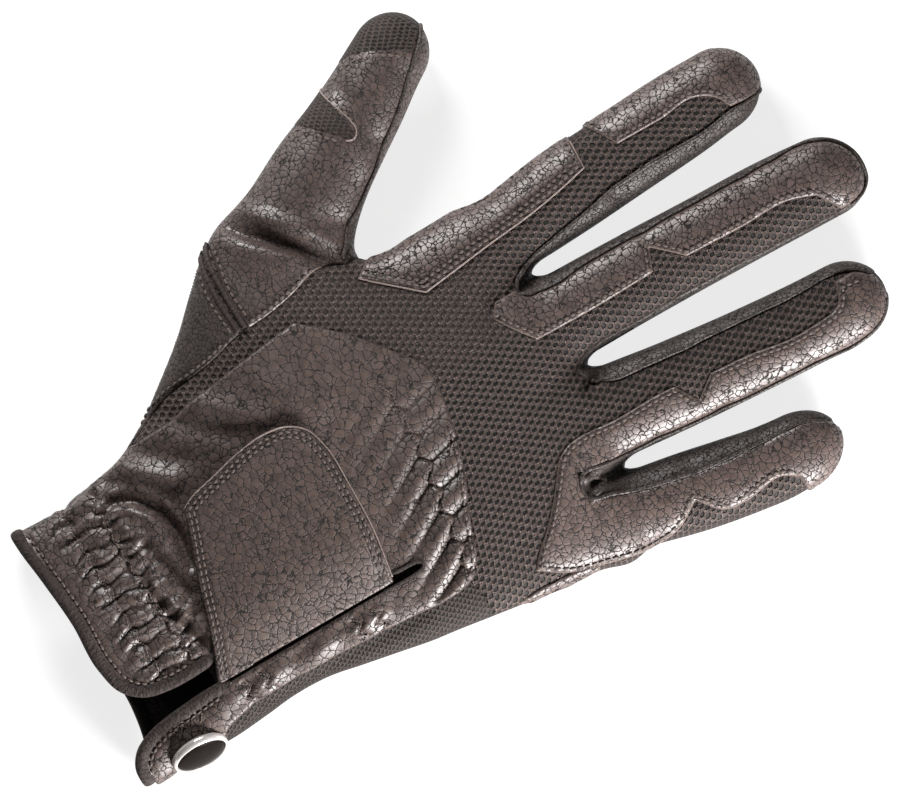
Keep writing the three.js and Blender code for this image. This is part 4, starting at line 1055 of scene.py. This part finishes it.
topLeft, topLeftUp = overHem(binding["back"])
topRight, topRightUp = overHem(binding["right"])
leftSide = np.array([(-27.6, -123.4, 11.5), (-28.2, -123.4, 7.5), (-26.8, -123.2, 3.0)])
rightSide = np.array([(45.8, -124.2, 2.6), (46.4, -125.2, 7.2), (46.2, -125.7, 11.4)])
underneath = np.array([(x, y, 1.5) for x, y in binding["under"]])
bindingPath = np.vstack([topLeft, leftSide, underneath, rightSide, topRight])
leftUp = [(-0.9, 0, 0.45), (-1, 0, 0), (-0.8, 0, -0.6)]
rightUp = [(0.8, 0, -0.6), (1, 0, 0), (0.9, 0, 0.45)]
bindingUp = np.vstack([topLeftUp, leftUp, np.tile((0, 0, -1.0), (5, 1)), rightUp, topRightUp])
table = np.roll(np.hstack([bindingPath, bindingUp]), -(len(topLeft) + 5), 0)  # starts under the palm
line = curve(table, 0.8, closed=True)
path, up = line[:, :3], line[:, 3:]
slim = 1 - 0.72 * softStep(path[:, 1], -97, -92) * softStep(path[:, 2], 8, 10)  # narrower beside the tab
p, f = tube(path, up, binding["wide"] * slim, binding["high"] * slim, 14, closed=True, squareness=2.4)
along = np.repeat(np.arange(len(path)) * 0.8, 14)
around = np.tile(np.arange(14.0), len(path))
values = {"along": along, "around": around}
makePiece("cuff_binding_tape", p, f, tape, ["cuff_binding"], 0, values)
print("binding made")

# The twin welts at the base of the thumb

welts = {
    "thumb_welt_upper_tape": ([(-70.2, -40.4), (-66, -42.1), (-57, -43.0), (-45.2, -42.8)],
                              "thumb_welt_upper"),
    "thumb_welt_lower_tape": ([(-69, -42.6), (-65.5, -44.0), (-57, -45.2), (-45.0, -44.9)],
                              "thumb_welt_lower"),
}
for name, (places, node) in welts.items():
    flat = curve(places, 0.8)
    p, n = drape(*flat.T)
    p, f = tube(placed(p, n, 0.75), n, 0.8, 0.7, 10)
    along = np.append(np.repeat(np.arange(len(flat)) * 0.8, 10), [0, 0])
    makePiece(name, p, f, tape, [node], 0, {"along": along, "around": along * 0})
print("welts made")


# Seams: raised ridges where two panels are sewn edge to edge

def ridge(flat, lift, wide, high, sides=8):
    p, n = drapeOver(*flat.T)
    return tube(placed(p, n, lift), n, wide, high, sides)


seams = {
    "wide": 0.62, "high": 0.55, "lift": 0.42,
    "lines": [
        [(-32, 108.4), (-31.2, 104), (-30.8, 98), *indexMiddleLine, (-1, 121.2), (2.5, 120.4), (5, 118),
         (6.5, 113.4)],
        [(25.2, 108.6), (22.2, 105), *ringLeftLine[::-1], (14.8, 34), (12.4, 30.2)],
        [(33, 108.9), (36.4, 106.3), (38.6, 102), (39.4, 97), *ringRightLine, (33.3, 15.4), (35, 13.6),
         (39.2, 13.4), *littleLine, (51, 73.4), (53.8, 78.6)],
        [(-92, 37.2), (-88.5, 35), (-86, 32.4), (-80, 25.8), (-75, 20), (-70, 13.5), (-65, 7), (-60, 0.5),
         (-53.5, -7.5), (-48.4, -11.6)],
    ],
}
ridges = []
for places in seams["lines"]:
    lift = seams["lift"] + (0.5 if places[0][0] < -60 else 0)  # the thumb's seam lies higher
    ridges.append(ridge(curve(places, 0.7), lift, seams["wide"], seams["high"]))
p, f = joined(ridges)
makePiece("finger_seam_ridges", p, f, darkLeather, values=plainValues(p))
cutEdges = {  # the pale raw edges that show: places and height over the form
    "thumb": ([(-91, 6.3), (-88, 6.3), (-84, 7.4), (-79, 8.9), (-76, 8.9), (-74.5, 7.3), (-75, 5)], 0.85),
    "index": ([*indexEdge, (-45, 56.9)], 0.45),
    "tab": ([(31, -41.9), *tabTop[::-1], *tabLeft], 3.0),
}
p, f = joined([ridge(lineOf(places), lift, 0.22, 0.22, 6) for places, lift in cutEdges.values()])
makePiece("pale_cut_edges", p, f, paleEdge, values={**plainValues(p), "edge": np.zeros(len(p))})
print("seams made")

# Stitching: rows of short threads, each a small spindle that dips into the leather at both ends

def spindle(length, thick, rise):
    at = np.linspace(-1, 1, 6)
    path = np.stack([at * length / 2, 0 * at, rise * (1 - at**2) - 0.12], 1)
    size = thick * np.sqrt(1.08 - at**2)
    return tube(path, np.tile((0, 0, 1.0), (6, 1)), size, size, 6)


def stitches(flat, lift, pitch=1.95, length=1.55, thick=0.36, extra=None, relief=1.0, rise=0.2):
    # One thread at each step of the line, turned to run along it and to stand on the surface
    travelled = np.concatenate([[0], np.cumsum(np.linalg.norm(np.diff(flat, axis=0), axis=1))])
    at = np.arange(pitch / 2, travelled[-1] - pitch / 4, pitch)
    x, y = np.interp(at, travelled, flat[:, 0]), np.interp(at, travelled, flat[:, 1])
    ahead = np.stack([np.interp(at + 0.4, travelled, flat[:, k]) - np.interp(at - 0.4, travelled, flat[:, k])
                      for k in (0, 1)] + [0 * at], 1)
    p, n = drapeOver(x, y)
    offset = lift + (extra(x, y, np.full(len(x), 3.0)) if extra else 0)
    p = placed(p, n, offset, relief)
    ahead -= n * (ahead * n).sum(1)[:, None]
    ahead /= np.linalg.norm(ahead, axis=1)[:, None]
    side = np.cross(n, ahead)
    one, faces = spindle(length, thick, rise)
    made = (p[:, None] + one[None, :, :1] * ahead[:, None] + one[None, :, 1:2] * side[:, None]
            + one[None, :, 2:] * n[:, None])
    many = faces[None] + (np.arange(len(p)) * len(one))[:, None, None]
    return made.reshape(-1, 3), many.reshape(-1, 4)


def threads(name, rows):
    p, f = joined(rows)
    zero = np.zeros(len(p))
    makePiece(name, p, f, thread, (), 0, {"along": zero, "around": zero})


slitLining = {
    "outline": [(27.5, -31, 0), (36.5, -31, 0), (37, -97, 0), (26, -97, 0)], "lift": -2.6, "rise": 0,
    "relief": 0,
}
panel("slit_lining", slitLining, darkLeather, ())
threads("finger_stitches", [stitches(line, 0.6) for look in fingerPanels.values() for line in rowLines(look)])
thumbStitches = [
    ([(-45, -46), (-57, -46.6), (-67, -44.4)], 0.6), ([(-75.6, 8.7), (-84, 7.5), (-90.5, 6.5)], -0.9),
    ([(-85.5, -5), (-83, -2.5), (-80, 0.5), (-76, 4.5)], -0.9),
    ([(-93, 14), (-92.8, 20), (-91, 25), (-88.5, 29), (-86.4, 31)], -1.0),
]
threads("thumb_stitches", [stitches(inset(places, away), 0.66) for places, away in thumbStitches])
threads("tab_stitches", [stitches(line, 3.0, extra=tabDip, relief=tab["relief"]) for line in rowLines(tab)])
threads("cuff_stitches", [stitches(line, 0.6, extra=wristGathers) for line in rowLines(wristLook)])


def zigzagLine(places, pitch, height):
    # A zigzag along a line: one thread from each corner to the next
    line = lineOf(places, 0.3)
    travelled = np.concatenate([[0], np.cumsum(np.linalg.norm(np.diff(line, axis=0), axis=1))])
    at = np.arange(0, travelled[-1], pitch / 2)
    x, y = np.interp(at, travelled, line[:, 0]), np.interp(at, travelled, line[:, 1])
    ahead = np.stack([np.interp(at + 0.5, travelled, line[:, k]) - np.interp(at - 0.5, travelled, line[:, k])
                      for k in (0, 1)], 1)
    ahead /= np.linalg.norm(ahead, axis=1)[:, None]
    flip = np.where(np.arange(len(at)) % 2, 1, -1) * height
    return np.stack([x - ahead[:, 1] * flip, y + ahead[:, 0] * flip], 1)


xs = np.arange(-27.5, 24.5, gathers["cuffPitch"] / 2)
zig = gathers["zigzag"] * triangle(xs / gathers["cuffPitch"])
cuffZigzags = [np.stack([xs, cuffRow(xs, 0) + zig], 1), np.stack([xs, cuffRow(xs, 1) - zig], 1)]
xs = np.arange(-14.4, 43.5, gathers["upperPitch"] / 2)
upperZigzag = gathers["upperZigzag"] * triangle(xs / gathers["upperPitch"] + 0.1)
upperZigzag = np.stack([xs, upperRow(xs) + upperZigzag], 1)
sideEnds = [
    [(36.2, -50.5), (43, -50.5)], [(36, -56), (42.6, -56)], [(36, -84.5), (42, -84.5)],
    [(36, -90), (42.4, -90)], [(38.4, -104), (39, -114)],
]
sideZigzags = [zigzagLine(places, 3.2, 1.1) for places in sideEnds]
threads("zigzag_stitches", [
    stitches(line, 0.75, 0.85, 0.8, 0.24, wristGathers, rise=0.1)
    for line in [*cuffZigzags, upperZigzag, *sideZigzags]
])
print("stitches made")

# The snap: turned profiles on the side of the cuff

snap = {"place": (45.8, -110.1, 10.6), "tilt": 65, "radius": 8.2}


def turned(profile, sides=64):
    # A profile of radius and height turned round its axis; its ends lie on the axis
    profile = np.array(profile, float)
    angle = np.linspace(0, 2 * np.pi, sides, endpoint=False)
    r, h = profile.T
    p = np.stack([r[:, None] * np.cos(angle), r[:, None] * np.sin(angle), h[:, None] + 0 * angle], -1)
    return p.reshape(-1, 3), gridQuads(len(profile), sides, closedColumns=True)


def onSnap(p):
    tilt = math.radians(snap["tilt"])
    axis = np.array([math.sin(tilt), 0, math.cos(tilt)])
    side = np.array([0, 1, 0])
    return np.array(snap["place"]) + p[:, :1] * np.cross(side, axis) + p[:, 1:2] * side + p[:, 2:] * axis


metal = Finish("polishedMetal", Metallic=0.5)
scratch = metal.noise(0.8, 4)
metal.feed("Base Color", metal.colour((0.5, 0.46, 0.44, 1), (0.8, 0.76, 0.73, 1), scratch))
metal.feed("Roughness", 0.16 + 0.12 * scratch)
enamel = Finish("glossyBlackEnamel", IOR=1.08)
speck = enamel.noise(1.5, 3)
enamel.feed("Base Color", enamel.colour((0.004, 0.003, 0.0025, 1), (0.01, 0.007, 0.006, 1), speck))
enamel.feed("Roughness", 0.2 + 0.1 * speck)
radius = snap["radius"]
rim = [(0.01, -0.4), (radius - 2.2, -0.4), (radius - 0.8, -0.3), (radius - 0.2, 0.2), (radius, 0.9),
       (radius - 0.2, 1.6), (radius - 0.55, 2.05), (radius - 0.8, 2.15), (radius - 1.0, 2.05),
       (radius - 1.12, 1.5), (radius - 1.15, 0.9), (0.01, 0.9)]
p, f = turned(rim)
makePiece("snap_rim_metal", onSnap(p), f, metal.material, ["snap_rim"], 0)
capRadius = radius - 1.25
arc = np.linspace(0, 1, 14)
cap = [(0.01, 1.0), (capRadius - 0.2, 1.0), (capRadius, 1.2), (capRadius, 1.55)]
cap += [(capRadius * math.cos(a * math.pi / 2) + 0.01, 1.6 + 1.35 * math.sin(a * math.pi / 2)) for a in arc]
p, f = turned(cap)
makePiece("snap_cap_enamel", onSnap(p), f, enamel.material, ["snap_cap"], 0)
print("snap made")

# The ribbed loop strip inside the slit

ribs = {
    "x": (17.5, 34.5), "y": (-112.5, -95.5), "height": 1.7, "pitch": 1.7, "rise": 0.55,
    "across": 70, "along": 60,
}
u = np.linspace(*ribs["x"], ribs["across"])
u, v = np.meshgrid(u, np.linspace(*ribs["y"], ribs["along"]), indexing="ij")
high = ribs["height"] + ribs["rise"] * np.abs(np.sin(np.pi * u / ribs["pitch"])) ** 0.6 + 0.08 * np.sin(v * 9)
quads = gridQuads(ribs["across"], ribs["along"], flip=True)
loops = Finish("blackLoopTape", Sheen_Weight=0.1)
fuzz = loops.noise(0.3, 4)
loops.feed("Base Color", loops.colour((0.005, 0.004, 0.004, 1), (0.03, 0.024, 0.021, 1), fuzz))
loops.feed("Roughness", 0.75 + 0.2 * fuzz)
loops.bump(fuzz, 0.4)
makePiece("loop_strip_tape", np.stack([u, v, high], -1).reshape(-1, 3), quads, loops.material,
          ["loop_strip"], 0.9)
print("loop strip made")

# Floor, light and camera

floorMaterial = Finish("paleFloor")
floorMaterial.shader.inputs["Base Color"].default_value = (0.3, 0.3, 0.3, 1)
floorMaterial.shader.inputs["Roughness"].default_value = 0.9
floorMaterial.shader.inputs["Emission Color"].default_value = (1, 1, 1, 1)
floorMaterial.shader.inputs["Emission Strength"].default_value = 0.8
bpy.ops.mesh.primitive_plane_add(size=6, location=(0, 0, -0.0008))
floor = bpy.context.object
floor.name = "floor"
floor.data.materials.append(floorMaterial.material)

view = {"centre": (-0.0014, -0.00535), "turn": 60, "lens": 300, "distance": 2.0, "middle": 0.012}
camera = bpy.data.objects.new("camera", bpy.data.cameras.new("camera"))
camera.data.lens = view["lens"]
camera.data.sensor_width = 36
camera.data.clip_end = 20
camera.location = (*view["centre"], view["distance"] + view["middle"])
camera.rotation_euler = (0, 0, math.radians(view["turn"]))
scene.collection.objects.link(camera)
scene.camera = camera


def softLight(name, place, size, power):
    # A square light that faces the glove
    light = bpy.data.lights.new(name, "AREA")
    light.size, light.energy = size, power
    lamp = bpy.data.objects.new(name, light)
    lamp.location = place
    away = np.array(place) / np.linalg.norm(place)
    lamp.rotation_euler = (math.acos(away[2]), 0, math.atan2(away[1], away[0]) + math.pi / 2)
    scene.collection.objects.link(lamp)


softLight("rightLight", (0.45, 0.04, 0.15), 0.2, 7.6)
softLight("leftLight", (-0.42, 0.04, 0.2), 0.18, 3.1)
scene.world = bpy.data.worlds.new("paleWorld")
scene.world.use_nodes = True
background = scene.world.node_tree.nodes["Background"]
background.inputs[0].default_value = (1, 1, 1, 1)
background.inputs[1].default_value = 0.07
scene.view_settings.view_transform = "Standard"

print("scene made")
